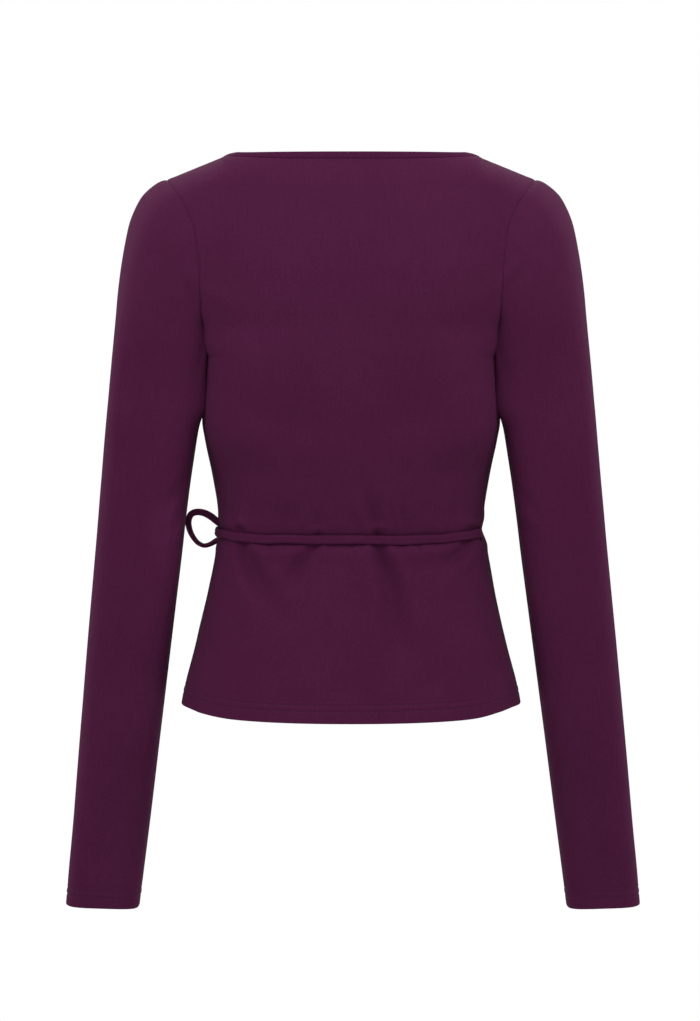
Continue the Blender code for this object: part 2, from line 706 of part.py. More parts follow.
# ---------------------------------------------------------------- sleeves
def sleeve_rings():
    """Rings for the left sleeve; ring 0 is the armhole seam, index 0 the shoulder point."""
    arm = list(reversed(ARM_BACK)) + ARM_FRONT[1:-1]
    count = len(arm)
    inner, outer = smooth(SLEEVE, 1), smooth(SLEEVE, 2)
    mid, deep, tilt = smooth(SLEEVE, 3), smooth(SLEEVE, 4), smooth(SLEEVE, 5)

    def tube_ring(z):
        half = (outer(z) - inner(z)) / 2
        a = math.radians(tilt(z))
        dense = []
        for k in range(721):
            turn = 2 * math.pi * k / 720
            n = SQUARE_SLEEVE[1] + SQUARE_SLEEVE[2] * step(-0.300, -0.255, z)
            n = SQUARE_SLEEVE[0] + n * (0.5 + 0.5 * math.cos(turn - math.radians(135))) ** 1.5
            c = math.copysign(abs(math.cos(turn)) ** (2 / n), math.cos(turn))
            s = math.copysign(abs(math.sin(turn)) ** (2 / n), math.sin(turn))
            dense.append(Vector(((inner(z) + outer(z)) / 2 + half * c, mid(z) + deep(z) * s,
                                 z + half * math.sin(a) * c)))
        return resample(dense, [k / count for k in range(count)])

    first = tube_ring(SLEEVE_ROWS[0])
    target = resample([Vector((x, 0, z)) for x, z in CAP_LINE], even(N_CAP))
    axis = Vector((0.104, 0.0, -0.9945))
    rings = [arm]
    for j in range(1, N_CAP):
        t = j / N_CAP
        ring = []
        for k in range(count):
            psi = 2 * math.pi * k / count
            low = (1 - math.cos(psi)) / 2
            leave = Vector((lerp(0.92, 0.40, low), 0.10 * math.sin(psi), lerp(-0.39, -0.90, low))).normalized()
            p0, p3 = arm[k], first[k]
            reach = (p3 - p0).length * 0.36
            p1, p2 = p0 + leave * reach, p3 - axis * reach
            ring.append(p0 * (1 - t)**3 + p1 * (3 * t * (1 - t)**2) + p2 * (3 * t * t * (1 - t)) + p3 * t**3)
        shift = Vector((target[j].x, ring[0].y, target[j].z)) - ring[0]
        ring = [p + shift * (math.cos(math.pi * k / count) ** 2) ** 1.5 for k, p in enumerate(ring)]
        rings.append(ring)
    for z in SLEEVE_ROWS:
        rings.append(tube_ring(z))
    return rings


def splayed(rings, side):
    """The sleeve on one side (1 is the wearer's left), swung by its splay."""
    out = []
    for ring in rings:
        out.append([Vector((side * (p.x - side * SPLAY * step(-0.25, -0.70, p.z)), p.y, p.z)) for p in ring])
    return out


# ---------------------------------------------------------------- build
def key(p):
    return (round(p.x, 5), round(p.y, 5), round(p.z, 5))


apart = {}               # at each point of an armhole, the way in which the body's edge leaves the sleeve's


def part_ways(bodies, sleeves):
    """At the underarm both walls run down side by side, so they part across their faces."""
    inner = {}
    for rows, _ in bodies:
        for row in rows:
            for p, q in ((row[0], row[1]), (row[-1], row[-2])):
                inner[key(p)] = inner.get(key(p), Vector((0, 0, 0))) + (q - p).normalized()
    for rings, _ in sleeves:
        ring = rings[0]
        n = len(ring)
        for k, p in enumerate(ring):
            t = (ring[(k + 1) % n] - ring[k - 1]).normalized()
            low = max(0.0, 1 - abs(k - n / 2) / 3)
            body = inner[key(p)] + Vector((0, 0, -0.8)) * low
            body = (body - t * body.dot(t)).normalized()
            out = rings[1][k] - p
            out = (out - t * out.dot(t)).normalized()
            e = body - out
            apart[key(p)] = (e - t * e.dot(t)).normalized()


def share(bodies, sleeves):
    """Panels that meet at the same points use one normal there, so their walls stay apart."""
    pools = []
    for grids in (bodies, sleeves):
        pool = {}
        for rows, normals in grids:
            for row, nrow in zip(rows, normals):
                for p, q in zip(row, nrow):
                    pool[key(p)] = pool.get(key(p), Vector((0, 0, 0))) + q
        pools.append(pool)
    for rows, normals in bodies + sleeves:
        for row, nrow in zip(rows, normals):
            for i, p in enumerate(row):
                n = Vector((0, 0, 0))
                for pool in pools:
                    if key(p) in pool:
                        n += pool[key(p)].normalized()
                nrow[i] = n.normalized()


slope = math.atan2(NECK_Z - SHOULDER_Z, SHOULDER_X - NECK_X)
back = back_rows()
back_n = grid_normals(back, -1)
left = left_front_rows()
left_n = grid_normals(left, -1, regular=True)
right = right_front_rows()
right_n = grid_normals(right, 1, regular=True)
sleeve_l = splayed(sleeve_rings(), 1)
sleeve_l_n = grid_normals(sleeve_l, 1, ring=True)
sleeve_r = splayed(sleeve_rings(), -1)
sleeve_r_n = grid_normals(sleeve_r, -1, ring=True)


def sleeve_axis(side):
    def f(p):
        return Vector((side * lerp(0.183, 0.233, (p.z + 0.23) / -0.476), 0, p.z))
    return f


for rows, normals, centre_of in ((back, back_n, torso_axis), (left, left_n, torso_axis),
                                 (right, right_n, torso_axis), (sleeve_l, sleeve_l_n, sleeve_axis(1)),
                                 (sleeve_r, sleeve_r_n, sleeve_axis(-1))):
    face_out(rows, normals, centre_of)

# the shoulder seam is straight: both panels use the normal that stands on it
half = N_BACK // 2
corner = round(half * 0.7)
for i in range(N_BACK + 1):
    if abs(i - half) >= corner:
        back_n[-1][i] = Vector((math.copysign(math.sin(slope), i - half), 0.0, math.cos(slope)))
for i in range(N_FRONT + 1):
    left_n[-1][i] = Vector((math.sin(slope), 0.0, math.cos(slope)))
    right_n[-1][i] = Vector((-math.sin(slope), 0.0, math.cos(slope)))
body_grids = [(back, back_n), (left, left_n), (right, right_n)]
sleeve_grids = [(sleeve_l, sleeve_l_n), (sleeve_r, sleeve_r_n)]
part_ways(body_grids, sleeve_grids)
share(body_grids, sleeve_grids)

panel("back", back, back_n, ("first", "last", "top"))
panel("front_left", left, left_n, ("first", "top"))
panel("front_right", right, right_n, ("first", "top"))
tube("sleeve_left", sleeve_l, sleeve_l_n)
tube("sleeve_right", sleeve_r, sleeve_r_n)


# neck band: along the back neck, then down each free edge to the waist
def inward_of(line, normals, hint):
    out = []
    for i, (p, n) in enumerate(zip(line, normals)):
        t = (line[min(i + 1, len(line) - 1)] - line[max(i - 1, 0)]).normalized()
        d = n.cross(t).normalized()
        out.append(d if d.dot(hint) > 0 else -d)
    return out


neck = back[-1][half - corner:half + corner + 1]
neck_n = [n.copy() for n in back_n[-1][half - corner:half + corner + 1]]
up = []
for i, (p, n) in enumerate(zip(neck, neck_n)):
    below = back[-2][half - corner + i]
    up.append((p - below).normalized())
side_lean = Vector((-math.cos(slope), 0.0, math.sin(slope)))
up[0] = Vector((-side_lean.x, 0.0, side_lean.z))
up[-1] = side_lean.copy()
for k in (1, 2):
    w = 0.55 / k
    up[k] = up[k].lerp(up[0], w).normalized()
    up[-1 - k] = up[-1 - k].lerp(up[-1], w).normalized()
for i in (0, len(neck) - 1):
    neck[i] = neck[i] + Vector((0, SEAM_BACK, 0))
band("neck_band_back", neck, up, neck_n)

WAIST_ROW = ROWS.index(SLIT_Z)


def edge_band(name, rows, normals, side):
    line = [row[-1] for row in rows[WAIST_ROW:]]
    ns = [nrow[-1] for nrow in normals[WAIST_ROW:]]
    inward = inward_of(line, ns, Vector((-side, 0, 0.4)))
    inward[-1] = Vector((-side * math.cos(slope), 0.0, math.sin(slope)))
    line = [p.copy() for p in line]
    line[-1] = line[-1] - Vector((0, SEAM_BACK, 0))
    band(name, line, inward, ns)


edge_band("neck_band_left", left, left_n, 1)
edge_band("neck_band_right", right, right_n, -1)


# waist ties
def tie_level(angle):
    sag = 0.0037 * math.cos(math.radians(min(90.0, abs(angle)))) ** 1.5
    return -0.3552 - sag + 0.0012 * step(-30.0, -70.0, angle)


def on_body(angle, z, lift):
    """A point above the body's cloth, with the directions outward, along and up there."""
    p = form(angle, z)
    t = (form(angle + 0.5, z) - form(angle - 0.5, z)).normalized()
    up = form(angle, z + 0.004) - form(angle, z - 0.004)
    up = (up - t * up.dot(t)).normalized()
    n = t.cross(up)
    if n.dot(Vector((p.x, p.y, 0))) < 0:
        n = -n
    return p + n * lift, n, t, up


def walk(angle, z, distance):
    """The angle that lies a distance along the body from another."""
    sign = 1.0 if distance >= 0 else -1.0
    done, p = 0.0, form(angle, z)
    while done < abs(distance):
        angle += sign * 0.2
        q = form(angle, z)
        done += (q - p).length
        p = q
    return angle


def slit_lift(along):
    """Height of the long tie's middle as it comes out through the slit."""
    return -0.0013 + 0.0033 * math.tanh((along + 0.0005) / 0.0026)


Z_UP = Vector((0, 0, 1))
slit_angle = -seam_right(SLIT_Z)
knot_at = KNOT_ANGLE
path, across, facing = [], [], []
for along in (-0.0340, -0.0240, -0.0150, -0.0100, -0.0070, -0.0045, -0.0025, -0.0010, 0.0005, 0.0020, 0.0040,
              0.0070, 0.0110):
    angle = walk(slit_angle, SLIT_Z, along)
    p, n, t, up_there = on_body(angle, SLIT_Z - 0.0001, min(slit_lift(along), TIE_LIFT))
    path.append(p)
    across.append(up_there)
    facing.append(n)
# a strip's normal follows its own slope in the slit
for i in range(len(path)):
    a, b = path[max(i - 1, 0)], path[min(i + 1, len(path) - 1)]
    t = (b - a).normalized()
    n = t.cross(across[i]).normalized()
    facing[i] = n if n.dot(facing[i]) > 0 else -n
end_angle = walk(knot_at, KNOT_Z, -(KNOT_HALF[0] + 0.0012))
start_angle = walk(slit_angle, SLIT_Z, 0.0190)
steps = 34
for k in range(steps + 1):
    angle = lerp(start_angle, end_angle, k / steps)
    p, n, t, up_there = on_body(angle, tie_level(angle), TIE_LIFT)
    path.append(p)
    across.append(up_there)
    facing.append(n)
flat_strap("tie_long", path, across, facing)

# the short tie runs from the outer front's corner to the knot
corner_angle = front_angle(edge_outer(SLIT_Z), SLIT_Z)
a_start = walk(corner_angle, SLIT_Z, -(BAND_W + 0.0010))
a_end = walk(knot_at, KNOT_Z, KNOT_HALF[0] + 0.0012)
path, across, facing = [], [], []
for k in range(6):
    angle = lerp(a_start, a_end, k / 5)
    p, n, t, up_there = on_body(angle, lerp(SLIT_Z, KNOT_Z, k / 5), lerp(0.0008, TIE_LIFT, k / 5))
    path.append(p)
    across.append(up_there)
    facing.append(n)
flat_strap("tie_short", path, across, facing)

# knot: a rounded lump of wound tie
KNOT_P, KNOT_N, KNOT_T, KNOT_UP = on_body(knot_at, KNOT_Z, KNOT_HALF[1] + 0.0008)
verts, faces = [], []
rings_k, around = 6, 10
for j in range(rings_k + 1):
    v = math.pi * j / rings_k
    if j in (0, rings_k):
        verts.append(KNOT_P + Z_UP * (KNOT_HALF[2] * math.cos(v)))
        continue
    for i in range(around):
        u = 2 * math.pi * i / around
        cu = math.copysign(abs(math.cos(u)) ** 0.8, math.cos(u))
        su = math.copysign(abs(math.sin(u)) ** 0.8, math.sin(u))
        s = math.sin(v) ** 0.7
        verts.append(KNOT_P + KNOT_T * (KNOT_HALF[0] * cu * s) + KNOT_N * (KNOT_HALF[1] * su * s)
                     + Z_UP * (KNOT_HALF[2] * math.cos(v)))
for i in range(around):
    a, b = 1 + i, 1 + (i + 1) % around
    faces.append((0, a, b))
    for j in range(rings_k - 2):
        c, d = a + (j + 1) * around, b + (j + 1) * around
        p, q = a + j * around, b + j * around
        faces += [(p, c, d), (p, d, q)]
    a, b = a + (rings_k - 2) * around, b + (rings_k - 2) * around
    faces.append((len(verts) - 1, b, a))
add("bow_knot", verts, faces, COLOUR_TIE)

# loop that stands out to the wearer's left
centre = spline([Vector(r[:3]) for r in LOOP_OUT], 26)
turn = smooth([(i / (len(LOOP_OUT) - 1), r[3]) for i, r in enumerate(LOOP_OUT)], 1)
across, facing = [], []
for i, p in enumerate(centre):
    t = (centre[min(i + 1, 26)] - centre[max(i - 1, 0)]).normalized()
    flat = Vector((0, 1, 0)) - t * t.y
    flat.normalize()
    n = t.cross(flat)
    a = math.radians(turn(i / 26))
    across.append(flat * math.cos(a) + n * math.sin(a))
    facing.append(n * math.cos(a) - flat * math.sin(a))
flat_strap("bow_loop_out", centre, across, facing)

# loop that lies forward on the outer front, standing on its edge
dense = []
for along, z in LOOP_FORWARD:
    angle = walk(knot_at, z, along)
    p, n, t, up_there = on_body(angle, z, 0.0044 + TIE_W / 2)
    dense.append(p)
centre = spline(dense, 20)
across, facing = [], []
for i, p in enumerate(centre):
    t = (centre[min(i + 1, 20)] - centre[max(i - 1, 0)]).normalized()
    out = KNOT_N - t * KNOT_N.dot(t)
    out.normalize()
    across.append(out)
    facing.append(t.cross(out).normalized())
flat_strap("bow_loop_forward", centre, across, facing)

# free ends, lying down the side of the front
for top, bottom, end_z, name in TAILS:
    path, across, facing = [], [], []
    count = 9
    for k in range(count + 1):
        f = k / count
        z = lerp(KNOT_Z - KNOT_HALF[2] - 0.0012, end_z, f)
        angle = walk(knot_at, z, lerp(top, bottom, f))
        lift = lerp(0.0045, 0.0020, step(0.0, 0.25, f))
        p, n, t, up_there = on_body(angle, z, lift)
        path.append(p)
        across.append(t)
        facing.append(n)
    for i in range(len(path)):
        t = (path[min(i + 1, count)] - path[max(i - 1, 0)]).normalized()
        across[i] = (across[i] - t * across[i].dot(t)).normalized()
        facing[i] = t.cross(across[i]).normalized()
    flat_strap(name, path, across, facing)
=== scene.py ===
"""Wrap top in fine knitted jersey: the cloth, its folds, seams and stitches, the band and the ties.

Same frame as the solids: metres, +Z up, the front faces -Y, the wearer's left is +X.
"""
import math

import bpy
import numpy as np
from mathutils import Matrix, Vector


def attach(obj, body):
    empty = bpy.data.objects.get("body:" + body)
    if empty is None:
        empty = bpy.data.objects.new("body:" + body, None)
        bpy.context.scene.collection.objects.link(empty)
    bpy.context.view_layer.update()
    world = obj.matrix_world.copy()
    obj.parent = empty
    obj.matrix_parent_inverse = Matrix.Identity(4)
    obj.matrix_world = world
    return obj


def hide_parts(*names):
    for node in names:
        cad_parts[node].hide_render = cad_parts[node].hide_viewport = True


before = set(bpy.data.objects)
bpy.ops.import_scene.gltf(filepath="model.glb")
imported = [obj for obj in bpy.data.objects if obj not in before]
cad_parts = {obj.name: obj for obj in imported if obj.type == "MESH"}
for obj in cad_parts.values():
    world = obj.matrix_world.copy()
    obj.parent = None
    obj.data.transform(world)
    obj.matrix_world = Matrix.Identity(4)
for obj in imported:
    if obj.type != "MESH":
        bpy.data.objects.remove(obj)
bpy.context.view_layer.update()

# ---------------------------------------------------------------- sizes of the cut
CLOTH = 0.0010           # thickness of one layer of jersey
HEM_TURN = 0.0195        # height of the turned-up hem
HEM_ROWS = (0.0108, 0.0168)     # two rows of twin-needle stitches, above the hem's edge
CUFF_TURN = 0.0190
CUFF_ROWS = (0.0100, 0.0162)
SHOULDER_X, SHOULDER_Z, SHOULDER_Y = 0.1730, -0.0261, -0.0040
NECK_X, NECK_Z, NECK_DIP = 0.1205, -0.0049, 0.0036
UNDERARM_Z, HEM_Z = -0.1900, -0.5160
WAIST_Z = -0.3570
ROLL = 0.0240            # the shoulder rolls forward to its seam over this height
HEM_DROP_BACK, HEM_DROP_FRONT = 0.0085, 0.0040
HEM_HELD = (0.0016, 0.0030)     # at the wearer's left, at the right
BAND_W, BAND_T = 0.0068, 0.0022
UNDER = 0.0038
TIE_W, TIE_T, TIE_LIFT = 0.0082, 0.0034, 0.0021
SLIT_Z, SLIT_HALF, SLIT_TALL = -0.3555, 0.0034, 0.0085
SQUARE_BACK, SQUARE_FRONT, SQUARE_NECK = 3.0, 2.3, 3.0
SQUARE_SIDE = 1.6        # squarer still where the sleeve rests against the body
SQUARE_SLEEVE = (2.6, 1.5, 1.6)     # all round, more of it towards the body at the back, more beside it
SLEEVE_LEAN = 0.0046     # and its back edge lies over the side of the body's back
SLEEVE_REST = 0.0034     # the sleeve leans over the body's back corner where it rests on it
CUFF_Z = -0.7082
SPLAY = 0.0018
KNOT_ANGLE, KNOT_Z = 124.0, -0.3575
KNOT_HALF = (0.0065, 0.0043, 0.0062)

FORM = (
    # z        half_w   back    front    side_y
    (0.0000, 0.1086, 0.0690, -0.0480, -0.0040),
    (-0.0049, 0.1205, 0.0720, -0.0510, -0.0040),
    (-0.0150, 0.1447, 0.0765, -0.0580, -0.0040),
    (-0.0261, 0.1730, 0.0808, -0.0648, -0.0040),
    (-0.0400, 0.1745, 0.0858, -0.0710, -0.0042),
    (-0.0600, 0.1710, 0.0920, -0.0790, -0.0050),
    (-0.0850, 0.1650, 0.0980, -0.0880, -0.0060),
    (-0.1150, 0.1570, 0.1025, -0.0970, -0.0080),
    (-0.1450, 0.1490, 0.1040, -0.1040, -0.0100),
    (-0.1700, 0.1420, 0.1035, -0.1080, -0.0110),
    (-0.1900, 0.1366, 0.1032, -0.1095, -0.0120),
    (-0.2050, 0.1371, 0.1026, -0.1095, -0.0120),
    (-0.2200, 0.1379, 0.1014, -0.1085, -0.0120),
    (-0.2350, 0.1391, 0.0998, -0.1065, -0.0120),
    (-0.2510, 0.1392, 0.0978, -0.1040, -0.0115),
    (-0.2660, 0.1370, 0.0965, -0.1010, -0.0105),
    (-0.2811, 0.1343, 0.0947, -0.0985, -0.0090),
    (-0.3111, 0.1286, 0.0893, -0.0935, -0.0060),
    (-0.3350, 0.1248, 0.0829, -0.0900, -0.0040),
    (-0.3487, 0.1236, 0.0786, -0.0890, -0.0030),
    (-0.3600, 0.1250, 0.0770, -0.0892, -0.0025),
    (-0.3713, 0.1273, 0.0794, -0.0902, -0.0020),
    (-0.4164, 0.1358, 0.0922, -0.0970, 0.0000),
    (-0.4615, 0.1459, 0.1027, -0.1045, 0.0000),
    (-0.5067, 0.1573, 0.1108, -0.1115, 0.0000),
    (-0.5160, 0.1589, 0.1130, -0.1130, 0.0000),
    (-0.5300, 0.1612, 0.1150, -0.1150, 0.0000),
)
# the curves of the upper back and chest are drawn to a wider form than the seams reach, so that the
# cloth comes flat to the armholes
BROAD = (
    # z        back    front
    (0.0100, 0.1780, 0.1750),
    (-0.0268, 0.1810, 0.1760),
    (-0.0500, 0.1850, 0.1760),
    (-0.0800, 0.1870, 0.1740),
    (-0.1100, 0.1850, 0.1700),
    (-0.1400, 0.1740, 0.1620),
    (-0.1600, 0.1600, 0.1550),
    (-0.1740, 0.1490, 0.1480),
    (-0.1840, 0.1412, 0.1405),
    (-0.1900, 0.1366, 0.1366),
)
# how the weight of the cloth and its ease settle the whole garment: level, let down, width
SETTLE = (
    # z        down     width
    (0.0300, 0.00000, 0.9945),
    (-0.0033, 0.00000, 0.9950),
    (-0.1000, 0.00000, 0.9964),
    (-0.2000, 0.00000, 0.9979),
    (-0.3000, -0.00009, 0.9995),
    (-0.4000, 0.00010, 1.0010),
    (-0.5000, 0.00060, 1.0025),
    (-0.6000, 0.00141, 1.0041),
    (-0.7000, 0.00253, 1.0056),
    (-0.7300, 0.00290, 1.0060),
)
ARMHOLE = (
    # z        back_x   front_x
    (-0.0261, 0.1730, 0.1730),
    (-0.0390, 0.1612, 0.1580),
    (-0.0498, 0.1540, 0.1490),
    (-0.0625, 0.1482, 0.1415),
    (-0.0747, 0.1438, 0.1368),
    (-0.0940, 0.1413, 0.1325),
    (-0.1100, 0.1396, 0.1308),
    (-0.1288, 0.1385, 0.1302),
    (-0.1466, 0.1379, 0.1312),
    (-0.1640, 0.1373, 0.1332),
    (-0.1800, 0.1368, 0.1355),
    (-0.1900, 0.1366, 0.1366),
)
SIDE_SEAM = (
    # z        right   left, degrees round the body from the middle of the back
    (-0.1900, 90.0, 90.0),
    (-0.2500, 86.0, 88.0),
    (-0.3100, 75.0, 82.0),
    (-0.3570, 71.0, 78.0),
    (-0.3850, 64.0, 76.0),
    (-0.4150, 54.0, 80.0),
    (-0.4600, 49.5, 92.0),
    (-0.5160, 46.0, 100.0),
    (-0.5300, 45.0, 101.0),
)
WRAP_EDGE = (
    # z        outer_x  inner_x
    (-0.0049, -0.1205, -0.1205),
    (-0.0400, -0.0920, -0.0920),
    (-0.0900, -0.0600, -0.0600),
    (-0.1400, -0.0275, -0.0275),
    (-0.1900, 0.0055, 0.0060),
    (-0.2400, 0.0370, 0.0400),
    (-0.2900, 0.0640, 0.0700),
    (-0.3300, 0.0800, 0.0880),
    (-0.3570, 0.0862, 0.0950),
    (-0.4000, 0.0905, 0.1000),
    (-0.4600, 0.0960, 0.1060),
    (-0.5160, 0.1010, 0.1110),
    (-0.5300, 0.1020, 0.1120),
)
CAP_LINE = (
    # x        z
    (0.1730, -0.0261),
    (0.1795, -0.0277),
    (0.1850, -0.0309),
    (0.1926, -0.0372),
    (0.1986, -0.0446),
    (0.2053, -0.0583),
    (0.2097, -0.0724),
    (0.2148, -0.1006),
    (0.2183, -0.1288),
    (0.2205, -0.1570),
    (0.2229, -0.1852),
    (0.2258, -0.2193),
)
SLEEVE = (
    # z        inner_x  outer_x  mid_y    half_y  tilt
    (-0.2290, 0.1371, 0.2258, 0.0190, 0.0490, 13.0),
    (-0.2400, 0.1400, 0.2268, 0.0198, 0.0485, 11.5),
    (-0.2510, 0.1427, 0.2279, 0.0205, 0.0480, 10.0),
    (-0.2811, 0.1471, 0.2305, 0.0215, 0.0465, 7.5),
    (-0.3111, 0.1513, 0.2331, 0.0212, 0.0450, 6.5),
    (-0.3412, 0.1551, 0.2358, 0.0202, 0.0438, 6.0),
    (-0.3713, 0.1586, 0.2386, 0.0186, 0.0430, 6.0),
    (-0.4164, 0.1644, 0.2430, 0.0150, 0.0415, 6.0),
    (-0.4615, 0.1702, 0.2474, 0.0110, 0.0400, 6.0),
    (-0.5067, 0.1760, 0.2516, 0.0060, 0.0388, 6.0),
    (-0.5471, 0.1812, 0.2555, 0.0010, 0.0376, 5.5),
    (-0.5894, 0.1865, 0.2594, -0.0040, 0.0362, 5.0),
    (-0.6317, 0.1919, 0.2632, -0.0090, 0.0348, 4.5),
    (-0.6740, 0.1974, 0.2675, -0.0130, 0.0334, 3.5),
    (-0.7060, 0.2014, 0.2705, -0.0160, 0.0322, 2.0),
)
LOOP_OUT = (
    # x       y        z        turn
    (0.1190, -0.0520, -0.3558, 30.0),
    (0.1250, -0.0430, -0.3510, 52.0),
    (0.1323, -0.0360, -0.3442, 56.0),
    (0.1390, -0.0310, -0.3402, 50.0),
    (0.1461, -0.0280, -0.3390, 46.0),
    (0.1515, -0.0270, -0.3412, 42.0),
    (0.1539, -0.0270, -0.3469, 38.0),
    (0.1535, -0.0270, -0.3530, 32.0),
    (0.1511, -0.0280, -0.3600, 25.0),
    (0.1468, -0.0300, -0.3666, 18.0),
    (0.1428, -0.0315, -0.3698, 14.0),
    (0.1385, -0.0340, -0.3711, 13.0),
    (0.1333, -0.0380, -0.3699, 20.0),
    (0.1276, -0.0435, -0.3668, 34.0),
    (0.1215, -0.0510, -0.3630, 36.0),
)
LOOP_FORWARD = (
    # along    z
    (0.0095, -0.3535),
    (0.0180, -0.3505),
    (0.0280, -0.3510),
    (0.0370, -0.3560),
    (0.0405, -0.3640),
    (0.0375, -0.3725),
    (0.0290, -0.3755),
    (0.0190, -0.3715),
    (0.0110, -0.3640),
)
TAILS = (
    # top     bottom   end_z
    (-0.0047, -0.0170, -0.4980),
    (0.0048, 0.0080, -0.4780),
)

# ---------------------------------------------------------------- folds of the cloth, in millimetres
# Each is a soft trough (depth > 0) or ridge (depth < 0) along a line of x, z points: its half width at
# the start and end, its depth, how much of it rises at the start and dies away at the end, and the
# height of the soft banks beside it.
BACK_FOLDS = (
    # points of x, z                                            w0   w1   depth head tail banks
    (((122, -318), (112, -334), (102, -353)),                   4.2, 3.2, 1.8, 0.45, 0.0, 0.40),
    (((58, -318), (56, -353)),                                  8.0, 5.0, 1.4, 0.60, 0.0, 0.30),
    (((33, -326), (30, -356)),                                  4.0, 3.0, 1.6, 0.50, 0.0, 0.50),
    (((-13, -300), (-19, -328), (-24.5, -357)),                 9.0, 3.8, 3.0, 0.65, 0.0, 0.55),
    (((-46, -318), (-49, -354)),                                4.5, 3.0, 1.4, 0.60, 0.0, 0.40),
    (((-58, -330), (-55.5, -353)),                              3.0, 2.2, 1.0, 0.60, 0.0, 0.40),
    (((-98, -318), (-93, -351)),                                5.0, 3.2, 1.5, 0.60, 0.0, 0.40),
    (((103, -352), (98.5, -372), (90, -390), (75, -415), (69, -440)), 4.5, 13., 6.2, 0.0, 0.50, 0.45),
    (((30, -356), (37, -369), (45, -380), (55, -398), (64, -414)), 4.0, 10., 4.4, 0.0, 0.52, 0.50),
    (((-24.5, -356), (-27, -373), (-33, -386), (-38, -402), (-41, -430), (-45, -462), (-50, -486)), 5.0, 15., 6.4, 0.0, 0.45, 0.45),
    (((-111, -352), (-104, -369), (-93, -377), (-76, -386)),    4.2, 8.0, 5.0, 0.0, 0.55, 0.50),
    (((-2, -358), (4, -374), (12, -391)),                       3.2, 8.0, 1.5, 0.0, 0.66, 0.40),
    (((-57, -357), (-62, -368), (-70, -378)),                   2.8, 6.0, 1.2, 0.0, 0.66, 0.40),
    (((72, -357), (76, -366), (80, -376)),                      2.8, 5.5, 1.1, 0.0, 0.66, 0.40),
)
# broad, very soft swells of the back, where the cloth isn't quite taut
BACK_SWELLS = (
    (((46, -368), (66, -373), (92, -368)),                      8.0, 8.0, -3.0, 0.30, 0.30, 0.0),
    (((12, -366), (-6, -378), (-18, -410)),                     9.0, 13., -3.2, 0.25, 0.60, 0.0),
    (((-42, -366), (-62, -371), (-96, -368)),                   8.0, 8.0, -2.8, 0.30, 0.35, 0.0),
    (((-60, -384), (-80, -398), (-100, -420)),                  9.0, 14., -1.6, 0.35, 0.50, 0.0),
    (((72, -404), (66, -424), (62, -452)),                      11., 15., 1.4, 0.45, 0.45, 0.3),
    (((-62, -440), (-70, -470), (-74, -508)),                   14., 18., 2.0, 0.45, 0.30, 0.2),
    (((8, -440), (5, -470), (6, -510)),                         14., 16., 2.2, 0.45, 0.25, 0.2),
    (((44, -420), (46, -460), (44, -510)),                      11., 14., -1.8, 0.40, 0.30, 0.2),
    (((98, -410), (100, -440), (104, -480)),                    10., 13., -1.4, 0.40, 0.40, 0.2),
    (((-104, -410), (-110, -450), (-114, -500)),                11., 13., -1.8, 0.40, 0.30, 0.2),
    (((-20, -190), (-48, -232), (-88, -262)),                   14., 20., 1.4, 0.50, 0.45, 0.3),
    (((10, -236), (40, -252), (84, -256)),                      14., 20., 1.1, 0.50, 0.45, 0.3),
    (((-70, -232), (-30, -258), (20, -268)),                    12., 16., 1.0, 0.50, 0.50, 0.3),
    (((98, -206), (86, -236), (60, -262)),                      12., 16., 1.2, 0.50, 0.50, 0.3),
)
